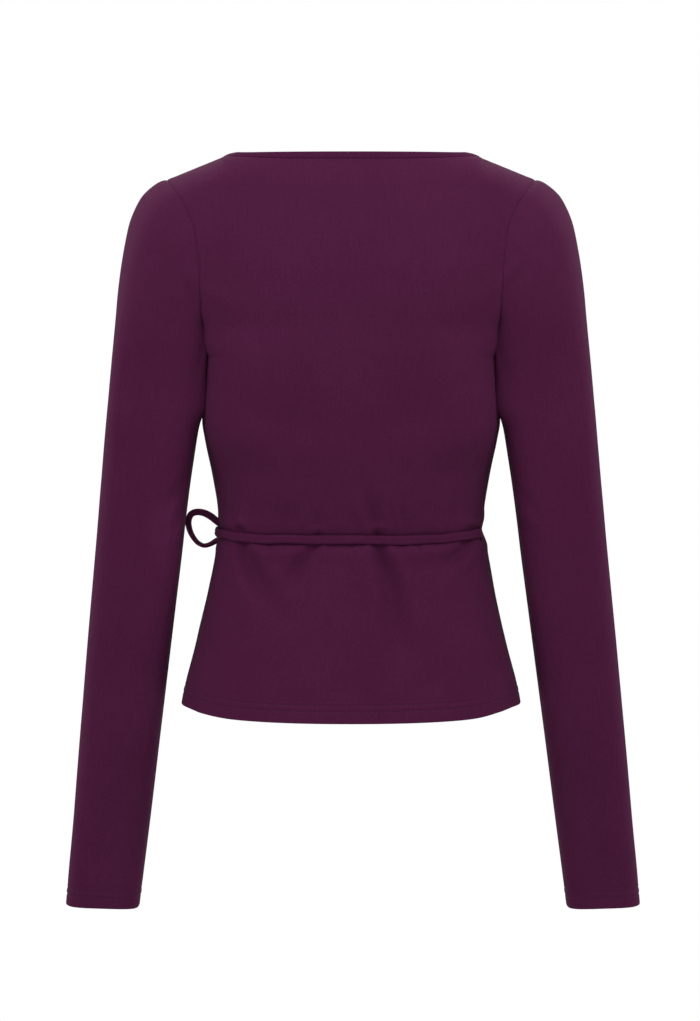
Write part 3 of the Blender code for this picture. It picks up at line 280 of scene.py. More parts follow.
# folds that run from the sleeve's head over the armhole seam into the back
SHOULDER_FOLDS = (
    (((164, -94), (150, -115), (138.5, -130), (116, -142), (90, -152)), 6.5, 9.0, -1.5, 0.35, 0.55, 0.35),
    (((160, -112), (148, -128), (136, -143), (114, -155)),      5.5, 7.5, 0.9, 0.40, 0.55, 0.25),
    (((-167, -88), (-150, -111), (-134.5, -130), (-120, -136), (-100, -140)), 6.0, 8.5, -1.6, 0.35, 0.55, 0.30),
    (((-164, -104), (-148, -122), (-134, -138), (-116, -147)),  4.0, 6.5, 1.2, 0.40, 0.55, 0.25),
    (((187, -72), (172, -96), (160, -128)),                     9.0, 11., 0.8, 0.45, 0.50, 0.3),
    (((-186, -70), (-170, -92), (-160, -126)),                  9.0, 11., 0.8, 0.45, 0.50, 0.3),
)
FRONT_FOLDS = (
    # they fan out from the bow over the outer front
    (((82, -352), (50, -326), (6, -300), (-44, -276)),          3.2, 12., 2.6, 0.0, 0.62, 0.45),
    (((83, -347), (62, -310), (34, -266), (2, -226)),           3.0, 11., 2.2, 0.0, 0.62, 0.45),
    (((80, -355), (36, -343), (-20, -333), (-74, -328)),        3.0, 9.0, 1.9, 0.0, 0.60, 0.45),
    (((84, -343), (74, -316), (60, -284), (46, -262)),          2.6, 7.0, 1.3, 0.0, 0.65, 0.40),
    (((74, -360), (44, -366), (4, -360), (-40, -352)),          3.0, 7.0, 1.3, 0.05, 0.60, 0.40),
    (((80, -362), (68, -388), (50, -420), (26, -462)),          3.0, 13., 2.3, 0.0, 0.65, 0.45),
    (((78, -364), (48, -384), (10, -404), (-32, -440)),         3.0, 12., 1.9, 0.0, 0.65, 0.45),
    (((84, -364), (84, -392), (80, -428)),                      2.8, 9.0, 1.5, 0.0, 0.65, 0.40),
    (((-26, -350), (-34, -374), (-46, -404)),                   3.0, 9.0, 1.1, 0.10, 0.65, 0.40),
    (((-78, -350), (-84, -376), (-92, -412)),                   3.0, 9.0, 1.2, 0.10, 0.65, 0.40),
    (((-118, -196), (-96, -204), (-62, -208)),                  5.0, 11., 1.3, 0.15, 0.60, 0.35),
    (((118, -198), (98, -214), (70, -236)),                     5.0, 10., 1.1, 0.15, 0.60, 0.35),
    (((-122, -120), (-110, -148), (-100, -176)),                6.0, 9.0, 0.9, 0.35, 0.50, 0.30),
    (((122, -116), (111, -146), (100, -178)),                   6.0, 9.0, 0.8, 0.35, 0.50, 0.30),
    (((-128, -62), (-112, -84), (-92, -112)),                   7.0, 10., 0.7, 0.35, 0.50, 0.25),
    (((128, -62), (113, -84), (96, -108)),                      7.0, 10., 0.7, 0.35, 0.50, 0.25),
    (((-10, -430), (-24, -470), (-30, -508)),                   14., 18., 0.9, 0.45, 0.35, 0.2),
    (((-90, -436), (-100, -472), (-104, -508)),                 14., 18., 0.9, 0.45, 0.35, 0.2),
)
# folds at the sides, as way round the body from the middle of the back (1.9 mm a degree) and level
SIDE_FOLDS = (
    (((-150, -330), (-154, -350)),                              3.0, 2.4, 1.0, 0.55, 0.0, 0.4),
    (((-178, -326), (-176, -350)),                              3.5, 2.8, 1.2, 0.55, 0.0, 0.4),
    (((-206, -332), (-204, -352)),                              3.0, 2.4, 0.9, 0.55, 0.0, 0.4),
    (((-168, -362), (-172, -388), (-178, -420)),                3.0, 9.0, 1.4, 0.0, 0.65, 0.4),
    (((-200, -362), (-205, -384), (-212, -406)),                3.0, 8.0, 1.1, 0.0, 0.65, 0.4),
    (((160, -330), (158, -352)),                                3.0, 2.4, 1.1, 0.55, 0.0, 0.4),
    (((186, -326), (188, -350)),                                3.2, 2.6, 1.2, 0.55, 0.0, 0.4),
    (((212, -334), (214, -352)),                                2.6, 2.2, 0.8, 0.55, 0.0, 0.4),
    (((164, -362), (166, -386), (170, -420)),                   3.0, 9.0, 1.3, 0.0, 0.65, 0.4),
    (((196, -362), (196, -388), (200, -416)),                   3.0, 8.0, 1.1, 0.0, 0.65, 0.4),
)
# sleeve folds: way round from the middle of its back, positive towards the body, and level
SLEEVE_FOLDS_LEFT = (
    (((4, -96), (0, -170), (-4, -250), (-2, -330)),             11., 13., 0.9, 0.30, 0.35, 0.45),
    (((-34, -120), (-38, -200), (-36, -280)),                   9.0, 10., -0.6, 0.35, 0.35, 0.2),
    (((40, -300), (26, -322), (6, -336)),                       4.0, 8.0, 1.1, 0.15, 0.60, 0.45),
    (((44, -322), (34, -344), (16, -362)),                      4.0, 8.0, 1.0, 0.15, 0.60, 0.45),
    (((50, -352), (36, -368), (20, -376)),                      4.0, 7.0, 0.8, 0.15, 0.60, 0.40),
    (((-44, -330), (-30, -352), (-8, -380)),                    7.0, 9.0, 0.6, 0.30, 0.50, 0.30),
    (((12, -400), (0, -450), (-12, -500)),                      9.0, 11., 0.6, 0.35, 0.45, 0.35),
    (((-24, -470), (-12, -520), (6, -580)),                     8.0, 9.0, 0.5, 0.35, 0.45, 0.35),
    (((18, -560), (10, -600), (-4, -650)),                      7.0, 8.0, 0.6, 0.35, 0.40, 0.35),
    (((-80, -240), (-86, -300), (-84, -360)),                   9.0, 11., 0.9, 0.30, 0.40, 0.35),
    (((-98, -430), (-90, -480), (-80, -520)),                   8.0, 10., 0.8, 0.30, 0.45, 0.35),
    (((-120, -250), (-108, -272), (-92, -284)),                 5.0, 9.0, 1.1, 0.20, 0.55, 0.40),
    (((-118, -330), (-104, -352), (-86, -366)),                 5.0, 9.0, 1.2, 0.20, 0.55, 0.40),
    (((-110, -356), (-98, -378), (-82, -392)),                  4.5, 8.0, 0.9, 0.20, 0.55, 0.40),
)
SLEEVE_FOLDS_RIGHT = (
    (((-8, -100), (-14, -170), (-18, -250), (-16, -320)),       10., 12., 0.9, 0.30, 0.35, 0.40),
    (((26, -120), (24, -200), (22, -270)),                      9.0, 10., -0.7, 0.35, 0.35, 0.2),
    (((42, -306), (28, -328), (8, -344)),                       4.0, 8.0, 1.1, 0.15, 0.60, 0.45),
    (((46, -334), (34, -352), (18, -366)),                      4.0, 8.0, 0.9, 0.15, 0.60, 0.45),
    (((-42, -340), (-26, -364), (-6, -388)),                    7.0, 9.0, 0.6, 0.30, 0.50, 0.30),
    (((8, -420), (-2, -470), (-14, -520)),                      9.0, 11., 0.6, 0.35, 0.45, 0.35),
    (((-20, -500), (-8, -550), (4, -600)),                      8.0, 9.0, 0.5, 0.35, 0.45, 0.35),
    (((14, -600), (4, -640), (-8, -680)),                       7.0, 8.0, 0.6, 0.35, 0.35, 0.35),
    (((-82, -250), (-88, -310), (-82, -370)),                   9.0, 11., 0.9, 0.30, 0.40, 0.35),
    (((-96, -440), (-90, -490), (-82, -530)),                   8.0, 10., 0.8, 0.30, 0.45, 0.35),
    (((-118, -258), (-106, -280), (-90, -292)),                 5.0, 9.0, 1.1, 0.20, 0.55, 0.40),
    (((-116, -340), (-102, -362), (-84, -374)),                 5.0, 9.0, 1.2, 0.20, 0.55, 0.40),
    (((-108, -366), (-96, -386), (-80, -402)),                  4.5, 8.0, 0.9, 0.20, 0.55, 0.40),
)

N_ARM = 72               # points up each half of an armhole


# ---------------------------------------------------------------- small maths
def smooth(table, column):
    """A smooth curve through one column of a table, against its first column."""
    rows = sorted(table, key=lambda r: r[0])
    xs = np.array([r[0] for r in rows], float)
    ys = np.array([r[column] for r in rows], float)
    d = np.diff(ys) / np.diff(xs)
    inner = np.where(d[:-1] * d[1:] <= 0, 0.0, 2 * d[:-1] * d[1:] / np.where(d[:-1] + d[1:] == 0, 1, d[:-1] + d[1:]))
    slopes = np.concatenate([[d[0]], inner, [d[-1]]])

    def f(x):
        x = np.asarray(x, float)
        i = np.clip(np.searchsorted(xs, x, side="right") - 1, 0, len(xs) - 2)
        h = xs[i + 1] - xs[i]
        t = (x - xs[i]) / h
        y = ((2 * t**3 - 3 * t**2 + 1) * ys[i] + (t**3 - 2 * t**2 + t) * h * slopes[i]
             + (-2 * t**3 + 3 * t**2) * ys[i + 1] + (t**3 - t**2) * h * slopes[i + 1])
        y = np.where(x <= xs[0], ys[0] + slopes[0] * (x - xs[0]), y)
        return np.where(x >= xs[-1], ys[-1] + slopes[-1] * (x - xs[-1]), y)

    return f


def step(a, b, x):
    t = np.clip((np.asarray(x, float) - a) / (b - a), 0.0, 1.0)
    return t * t * (3 - 2 * t)


def lerp(a, b, t):
    return a + (b - a) * t


def unit(v):
    return v / np.maximum(np.linalg.norm(v, axis=-1, keepdims=True), 1e-12)


def run_of(points):
    return np.concatenate([[0.0], np.cumsum(np.linalg.norm(np.diff(points, axis=0), axis=1))])


def resample(points, fractions):
    run = run_of(points)
    want = np.asarray(fractions) * run[-1]
    return np.stack([np.interp(want, run, points[:, k]) for k in range(points.shape[1])], 1)


def spline(points, n, closed=False):
    """n points evenly along a smooth curve through the given rows (any number of columns)."""
    p = np.asarray(points, float)
    last = len(p) - 1
    dense = []
    for i in range(last):
        p0, p1, p2, p3 = p[max(i - 1, 0)], p[i], p[i + 1], p[min(i + 2, last)]
        t = np.linspace(0, 1, 24, endpoint=False)[:, None]
        dense.append(0.5 * (2 * p1 + (p2 - p0) * t + (2 * p0 - 5 * p1 + 4 * p2 - p3) * t * t
                            + (3 * p1 - p0 - 3 * p2 + p3) * t**3))
    dense = np.concatenate(dense + [p[-1:]])
    run = run_of(dense[:, :3]) if dense.shape[1] >= 3 else run_of(dense)
    want = np.linspace(0, run[-1], n)
    return np.stack([np.interp(want, run, dense[:, k]) for k in range(dense.shape[1])], 1)


def graded(length, fine, coarse, reach, both=True):
    """Fractions from 0 to 1 whose steps are fine at the ends and coarse away from them."""
    out, at = [0.0], 0.0
    while at < length:
        near = min(at, length - at) if both else at
        at += fine + (coarse - fine) * float(step(0.0, reach, near))
        out.append(at)
    out = np.array(out)
    return out / out[-1]


body_w, back_y, front_y, side_y = (smooth(FORM, k) for k in (1, 2, 3, 4))
broad_back, broad_front = smooth(BROAD, 1), smooth(BROAD, 2)
settle_down, settle_wide = smooth(SETTLE, 1), smooth(SETTLE, 2)
arm_back, arm_front = smooth(ARMHOLE, 1), smooth(ARMHOLE, 2)
seam_right, seam_left = smooth(SIDE_SEAM, 1), smooth(SIDE_SEAM, 2)
edge_outer, edge_inner = smooth(WRAP_EDGE, 1), smooth(WRAP_EDGE, 2)


# ---------------------------------------------------------------- the torso form
def half_w(z):
    z = np.asarray(z, float)
    straight = NECK_X + (NECK_Z - z) * (SHOULDER_X - NECK_X) / (NECK_Z - SHOULDER_Z)
    return np.where(z >= SHOULDER_Z, straight, body_w(z))


def top_edge(x, dip):
    x = np.abs(x)
    flat = NECK_Z - dip * (1 - np.minimum(1, x / NECK_X) ** 3.27)
    return np.where(x <= NECK_X, flat, lerp(NECK_Z, SHOULDER_Z, (x - NECK_X) / (SHOULDER_X - NECK_X)))


def square_back(z):
    return SQUARE_BACK + SQUARE_SIDE * step(-0.160, -0.195, z) * step(-0.300, -0.255, z)


def surface(x, z, back):
    """A point of the back or the chest, which rolls over to the shoulder seam and the neck's edge."""
    x, z = np.broadcast_arrays(np.asarray(x, float), np.asarray(z, float))
    n = square_back(z) if back else SQUARE_FRONT
    deep = back_y(z) if back else front_y(z)
    r = np.minimum(1.0, np.abs(x) / (broad_back(z) if back else broad_front(z)))
    full = side_y(z) + (deep - side_y(z)) * (1 - r**n) ** (1 / n)
    k = np.minimum(1.0, np.abs(x) / NECK_X)
    brink = float(back_y(NECK_Z) if back else front_y(NECK_Z))
    q = SQUARE_NECK if back else SQUARE_FRONT
    edge = SHOULDER_Y + (brink - SHOULDER_Y) * (1 - k**q) ** (1 / q)
    t = np.clip((top_edge(x, NECK_DIP if back else 0.0) - z) / ROLL, 0.0, 1.0)
    over = (1 - (1 - t) ** 2.2) ** (1 / 1.8)
    return np.stack([x, edge + (full - edge) * over, z], -1)


def form(angle, z):
    """A point of the body at an angle from the middle of the back, positive to the wearer's left."""
    angle, z = np.broadcast_arrays(np.asarray(angle, float), np.asarray(z, float))
    a = np.radians(np.abs(angle))
    back = a <= math.pi / 2
    n = np.where(back, square_back(z), SQUARE_FRONT)
    s = np.maximum(0.0, np.sin(a)) ** (2 / n)
    c = np.abs(np.cos(a)) ** (2 / n)
    depth = np.where(back, back_y(z), front_y(z))
    return np.stack([np.where(angle >= 0, 1.0, -1.0) * half_w(z) * s, side_y(z) + (depth - side_y(z)) * c, z], -1)


def front_angle(x, z):
    r = min(1.0, abs(float(x)) / float(half_w(z)))
    a = 180.0 - math.degrees(math.asin(r ** (SQUARE_FRONT / 2)))
    return a if x >= 0 else 360.0 - a


def angle_of(p):
    """Way round the body of a point on its form, in degrees from the middle of the back."""
    r = np.minimum(1.0, np.abs(p[..., 0]) / half_w(p[..., 2]))
    back = p[..., 1] >= side_y(p[..., 2])
    a = np.degrees(np.arcsin(r ** (np.where(back, square_back(p[..., 2]), SQUARE_FRONT) / 2)))
    a = np.where(back, a, 180 - a)
    return np.copysign(a, p[..., 0])


def let_down(p, side=1):
    """The body's cloth hangs lower at the middle than at the sides, and is held up at the hem's corners."""
    z = p[..., 2]
    amount = np.where(p[..., 1] > 0, HEM_DROP_BACK, HEM_DROP_FRONT)
    r = np.minimum(1.0, np.abs(p[..., 0]) / half_w(z))
    out = p.copy()
    u = 1 - r * r
    held = np.where(p[..., 0] * side > 0, HEM_HELD[0], HEM_HELD[1])
    drop = amount * u ** 0.6 * step(0.0, 0.25, u) - held * np.exp(-((r - 0.9) / 0.12) ** 2)
    out[..., 2] = z - drop * step(-0.36, HEM_Z, z)
    return out


def body_row(a0, a1, z, fractions, side=1):
    dense = form(np.linspace(a0, a1, 401), z)
    return let_down(resample(dense, fractions), side)


def armhole(width, back):
    t = np.linspace(0, 1, 961)
    z = lerp(UNDERARM_Z, SHOULDER_Z, 1 - (1 - t) ** 2)
    return resample(surface(width(z), z, back), np.linspace(0, 1, N_ARM + 1))


ARM_BACK, ARM_FRONT = armhole(arm_back, True), armhole(arm_front, False)


# ---------------------------------------------------------------- the panels as grids of points
def body_levels():
    """Levels of the rows below the armholes: close at the hem's stitches and at the tie."""
    out, z = [HEM_Z], HEM_Z
    while z < UNDERARM_Z:
        up = z - HEM_Z
        gap = 0.00020 + 0.00055 * float(step(0.0, 0.0014, up))
        gap += 0.0018 * float(step(0.019, 0.027, up))
        gap -= 0.0013 * (float(step(-0.385, -0.372, z)) - float(step(-0.342, -0.330, z))) if gap > 0.002 else 0
        z += gap
        out.append(z)
    out = np.array(out)
    return HEM_Z + (out - HEM_Z) * (UNDERARM_Z - HEM_Z) / (out[-1] - HEM_Z)


LEVELS = body_levels()


def slit_open(z):
    """How far each edge of the right side seam stands back at the slit for the tie."""
    return SLIT_HALF * np.maximum(0.0, 1 - ((z - SLIT_Z) / SLIT_TALL) ** 2) ** 0.8


def degrees_for(width, angle, z):
    return width / float(np.linalg.norm(form(angle + 0.5, z) - form(angle - 0.5, z)))


Q_BACK = graded(0.300, 0.0006, 0.0026, 0.012)
Q_BACK = np.sort(np.concatenate([Q_BACK, [0.15, 0.85]]))
CORNER_L = int(np.argmin(np.abs(Q_BACK - 0.15)))
CORNER_R = int(np.argmin(np.abs(Q_BACK - 0.85)))


def back_grid():
    q = Q_BACK
    rows = []
    for z in LEVELS:
        a0 = -float(seam_right(z))
        a0 += degrees_for(float(slit_open(z)), a0, z)
        rows.append(body_row(a0, float(seam_left(z)), z, q))
    spread = rows[-1][:, 0] / half_w(UNDERARM_Z)
    k = np.abs(2 * q - 1)
    flat = np.where(k <= 0.7, k / 0.7 * NECK_X, lerp(NECK_X, SHOULDER_X, (k - 0.7) / 0.3)) / SHOULDER_X
    flat = np.copysign(flat, 2 * q - 1)
    flat[k < 1e-9] = 0
    for j in range(1, N_ARM + 1):
        seam = ARM_BACK[j]
        tau = (seam[2] - UNDERARM_Z) / (SHOULDER_Z - UNDERARM_Z)
        mix = float(step(0.0, 0.75, tau))
        x = seam[0] * lerp(spread, flat, mix)
        z = lerp(UNDERARM_Z, top_edge(SHOULDER_X * flat, NECK_DIP), tau)
        row = surface(x, z, True)
        row[0] = seam * (-1, 1, 1)
        row[-1] = seam
        if j == N_ARM:
            row[k >= 0.7, 1] = SHOULDER_Y
        rows.append(row)
    return np.array(rows)


def front_grid(side, edge, start_angle, slit, q):
    """A wrap front, worked out with its side seam at +X; side -1 mirrors it."""
    rows = []
    for z in LEVELS:
        a0 = float(start_angle(z))
        if slit:
            a0 += degrees_for(float(slit_open(z)), a0, z)
        a1 = front_angle(edge(z), z)
        if a1 <= 180:
            rows.append(body_row(a0, a1, z, q, side))
        else:
            dense = np.concatenate([form(np.linspace(a0, 180, 401), z), form(-np.linspace(180, 360 - a1, 201)[1:], z)])
            rows.append(let_down(resample(dense, q), side))
    n = SQUARE_FRONT
    for j in range(1, N_ARM + 1):
        seam = ARM_FRONT[j]
        tau = (seam[2] - UNDERARM_Z) / (SHOULDER_Z - UNDERARM_Z)
        z_edge = lerp(UNDERARM_Z, NECK_Z, tau)
        x1 = float(edge(z_edge))
        t = np.linspace(0, 1, 401)
        z = lerp(seam[2], z_edge, t)
        if j == N_ARM:
            x = lerp(seam[0], x1, t)
        else:
            wide0, wide1 = float(broad_front(seam[2])), float(broad_front(z_edge))
            s0 = min(1.0, seam[0] / wide0) ** (n / 2)
            s1 = min(1.0, abs(x1) / wide1) ** (n / 2)
            a = lerp(math.asin(s0), math.copysign(math.asin(s1), x1), t)
            x = np.copysign(np.abs(np.sin(a)) ** (2 / n) * lerp(wide0, wide1, t), a)
            x = lerp(x, lerp(seam[0], x1, t), float(step(0.45, 1.0, tau)))
        row = resample(surface(x, z, False), q)
        row[0] = seam
        rows.append(row)
    rows = np.array(rows)
    return rows * (side, 1, 1)


def eased(rows, seam_sides):
    """The cloth runs smoothly past the level of the underarm, except at the seams themselves."""
    out = rows.copy()
    level = np.arange(-0.262, -0.118, 0.001)
    blur = np.exp(-(np.arange(-24, 25) / 8.0) ** 2)
    blur /= blur.sum()
    reach = np.zeros(rows.shape[:2])
    for side in seam_sides:
        gap = np.abs(rows[..., 0] - rows[:, side, 0][:, None])
        reach = np.maximum(reach, 1 - step(0.006, 0.030, gap))
    beside = np.abs(rows[:, 0, 2] - UNDERARM_Z) < 0.020
    hold = 1 - reach[beside].max(0)
    for i in range(rows.shape[1]):
        z = rows[:, i, 2]
        near = np.exp(-((z - UNDERARM_Z) / 0.026) ** 4) * hold[i]
        for k in (0, 1):
            f = np.interp(level, z, rows[:, i, k])
            g = np.convolve(np.pad(f, 24, mode="edge"), blur, mode="valid")
            out[:, i, k] += (np.interp(z, level, g) - rows[:, i, k]) * near
    return out


def sleeve_grid():
    """Rings of the left sleeve; ring 0 is the armhole, column 0 the shoulder point."""
    arm = np.concatenate([ARM_BACK[::-1], ARM_FRONT[1:-1]])
    count = len(arm)
    inner, outer, mid, deep, tilt = (smooth(SLEEVE, k) for k in (1, 2, 3, 4, 5))
    psi = 2 * math.pi * np.arange(count) / count
    turn = np.linspace(0, 2 * math.pi, 2881)

    def tube_ring(z):
        half = (outer(z) - inner(z)) / 2
        a = math.radians(float(tilt(z)))
        n = SQUARE_SLEEVE[1] + SQUARE_SLEEVE[2] * float(step(-0.300, -0.255, z))
        n = SQUARE_SLEEVE[0] + n * (0.5 + 0.5 * np.cos(turn - math.radians(135))) ** 1.5
        c = np.copysign(np.abs(np.cos(turn)) ** (2 / n), np.cos(turn))
        s = np.copysign(np.abs(np.sin(turn)) ** (2 / n), np.sin(turn))
        y = mid(z) + deep(z) * s
        rest = SLEEVE_REST * float(step(-0.2485, -0.2265, z)) * (0.5 - 0.5 * c) * step(-0.004, 0.050, y)
        dense = np.stack([(inner(z) + outer(z)) / 2 + half * c - rest, y, z + half * math.sin(a) * c], 1)
        return resample(dense, np.arange(count) / count)

    top = SLEEVE[0][0]
    first = tube_ring(top)
    axis = np.array((0.104, 0.0, -0.9945))
    low = (1 - np.cos(psi)) / 2
    turned = lerp(low ** 2, 1.0, 0.7 * step(0.55, 0.82, low))
    leave = unit(np.stack([lerp(0.92, -0.03, turned), -0.10 * np.sin(psi), lerp(-0.39, -0.90, low)], 1))
    reach = np.linalg.norm(first - arm, axis=1, keepdims=True) * 0.36
    p1, p2 = arm + leave * reach, first - axis * reach
    cap = spline([(x, 0.0, z) for x, z in CAP_LINE], 400)
    rings = [arm]
    for t in graded(0.205, 0.0006, 0.0026, 0.010, both=False)[1:-1]:
        ring = arm * (1 - t)**3 + p1 * (3 * t * (1 - t)**2) + p2 * (3 * t * t * (1 - t)) + first * t**3
        aim = cap[min(399, int(round(t * 399)))]
        shift = np.array((aim[0] - ring[0, 0], 0.0, aim[2] - ring[0, 2]))
        rings.append(ring + shift * ((np.cos(psi / 2) ** 2) ** 1.5)[:, None])
    z, down = top, []
    while z > CUFF_Z:
        down.append(z)
        up = z - CUFF_Z
        z -= 0.00020 + 0.00055 * float(step(0.0, 0.0014, up)) + 0.0021 * float(step(0.019, 0.027, up))
    down = top + (np.array(down + [z]) - top) * (CUFF_Z - top) / (z - top)
    for z in down:
        rings.append(tube_ring(z))
    rows = np.array(rings)
    x, y, z = rows[..., 0], rows[..., 1], rows[..., 2]
    over = step(0.042, 0.060, y) * (1 - step(0.134, 0.170, x)) * step(-0.256, -0.224, z) * (1 - step(-0.184, -0.150, z))
    rows[..., 0] -= SLEEVE_LEAN * over * step(0, 12, np.arange(len(rows)))[:, None]
    return rows, len(rings) - len(down)


def splayed(rings, side):
    out = rings.copy()
    out[..., 0] = side * (rings[..., 0] - side * SPLAY * step(-0.25, -0.70, rings[..., 2]))
    return out


# ---------------------------------------------------------------- folds
def fold(at, points, w0, w1, depth, head, tail, banks):
    """The height of one fold at positions (..., 2), all in metres; see the tables."""
    pts = np.asarray(points, float) / 1000
    run = run_of(pts)
    best = np.full(at.shape[:-1], 1e9)
    along = np.zeros(at.shape[:-1])
    for i in range(len(pts) - 1):
        a, d = pts[i], pts[i + 1] - pts[i]
        t = np.clip(((at - a) @ d) / (d @ d), 0.0, 1.0)
        gap = np.linalg.norm(at - a - t[..., None] * d, axis=-1)
        nearer = gap < best
        best = np.where(nearer, gap, best)
        along = np.where(nearer, (run[i] + t * (run[i + 1] - run[i])) / run[-1], along)
    w = lerp(w0, w1, along) / 1000
    amp = depth / 1000
    if head > 0:
        amp = amp * step(0.0, head, along)
    if tail > 0:
        amp = amp * (1 - step(1 - tail, 1.0, along))
    r = best / w
    return -amp * (np.exp(-r * r) - banks * np.exp(-((r - 1.75) / 0.95) ** 2))


def folds(at, table):
    total = np.zeros(at.shape[:-1])
    for row in table:
        pts = np.asarray(row[0], float) / 1000
        room = 4.5 * max(row[1], row[2]) / 1000
        low, high = pts.min(0) - room, pts.max(0) + room
        near = ((at > low) & (at < high)).all(-1)
        if near.any():
            total[near] += fold(at[near], *row)
    return total


def tie_level(angle):
    sag = 0.0037 * np.cos(np.radians(np.minimum(90.0, np.abs(angle)))) ** 1.5
    return -0.3552 - sag + 0.0012 * step(-30.0, -70.0, angle)


def waist_pull(p, angle):
    """The tie presses the cloth in, and it puffs out softly above and below."""
    d = p[..., 2] - tie_level(angle)
    return -0.0011 * np.exp(-(d / 0.0050) ** 2) + 0.0010 * np.exp(-((np.abs(d) - 0.0125) / 0.0062) ** 2)


def body_relief(p):
    """Height of the folds anywhere on the body, alike on both sides of a seam."""
    angle = angle_of(p)
    behind = step(-0.012, 0.020, p[..., 1] - side_y(p[..., 2]))
    ahead = step(0.012, -0.020, p[..., 1] - side_y(p[..., 2]))
    xz = p[..., [0, 2]]
    gap = p[..., 2] - tie_level(angle)
    held = 1 - np.where(gap > 0, 0.88 * np.exp(-(gap / 0.0125) ** 2), 0.66 * np.exp(-(gap / 0.0080) ** 2))
    h = behind * held * (folds(xz, BACK_FOLDS) + folds(xz, BACK_SWELLS))
    h += shoulder_relief(p)
    h += ahead * held * folds(xz, FRONT_FOLDS)
    around = np.stack([angle * 0.0019, p[..., 2]], -1)
    h += held * folds(around, SIDE_FOLDS)
    return h + waist_pull(p, angle)


def shoulder_relief(p):
    behind = step(-0.005, 0.030, p[..., 1])
    return behind * folds(p[..., [0, 2]], SHOULDER_FOLDS)


def seam_dent(d, deep=0.00040, half=0.0009):
    """Cloth dips into a seam, with the seam's turnings as a low ridge beside it."""
    return -deep * np.exp(-(d / half) ** 2) + 0.00016 * np.exp(-((d - 0.0040) / 0.0022) ** 2)


# ---------------------------------------------------------------- meshes
def normals_of(P, ring=False):
    if ring:
        du = np.roll(P, -1, 1) - np.roll(P, 1, 1)
    else:
        du = np.gradient(P, axis=1, edge_order=1)
    dv = np.gradient(P, axis=0, edge_order=1)
    return unit(np.cross(du, dv))


def outward(P, N, centre):
    return N if (N * unit(P - centre(P))).sum() > 0 else -N


def torso_axis(P):
    return P * (0, 0, 1)


def sleeve_axis(side):
    def f(P):
        x = side * lerp(0.183, 0.233, (P[..., 2] + 0.23) / -0.476)
        return np.stack([x, np.zeros_like(x), P[..., 2]], -1)
    return f


def settled(v):
    z = v[:, 2]
    return np.stack([v[:, 0] * settle_wide(z), v[:, 1], z - settle_down(z)], 1)


def finish_mesh(name, verts, faces, uvs=None, bake=None, material=None, sharp=60):
    verts = settled(verts)
    me = bpy.data.meshes.new(name)
    me.from_pydata(verts.tolist(), [], faces.tolist())
    if uvs is not None:
        for label, values in (("cloth", uvs), ("OFBake", bake)):
            if values is not None:
                layer = me.uv_layers.new(name=label)
                layer.uv.foreach_set("vector", np.asarray(values, np.float32).ravel())
    me.update()
    ob = bpy.data.objects.new(name, me)
    bpy.context.scene.collection.objects.link(ob)
    me.shade_smooth()
    if sharp:
        me.set_sharp_from_angle(angle=math.radians(sharp))
    if material:
        me.materials.append(material)
    return ob


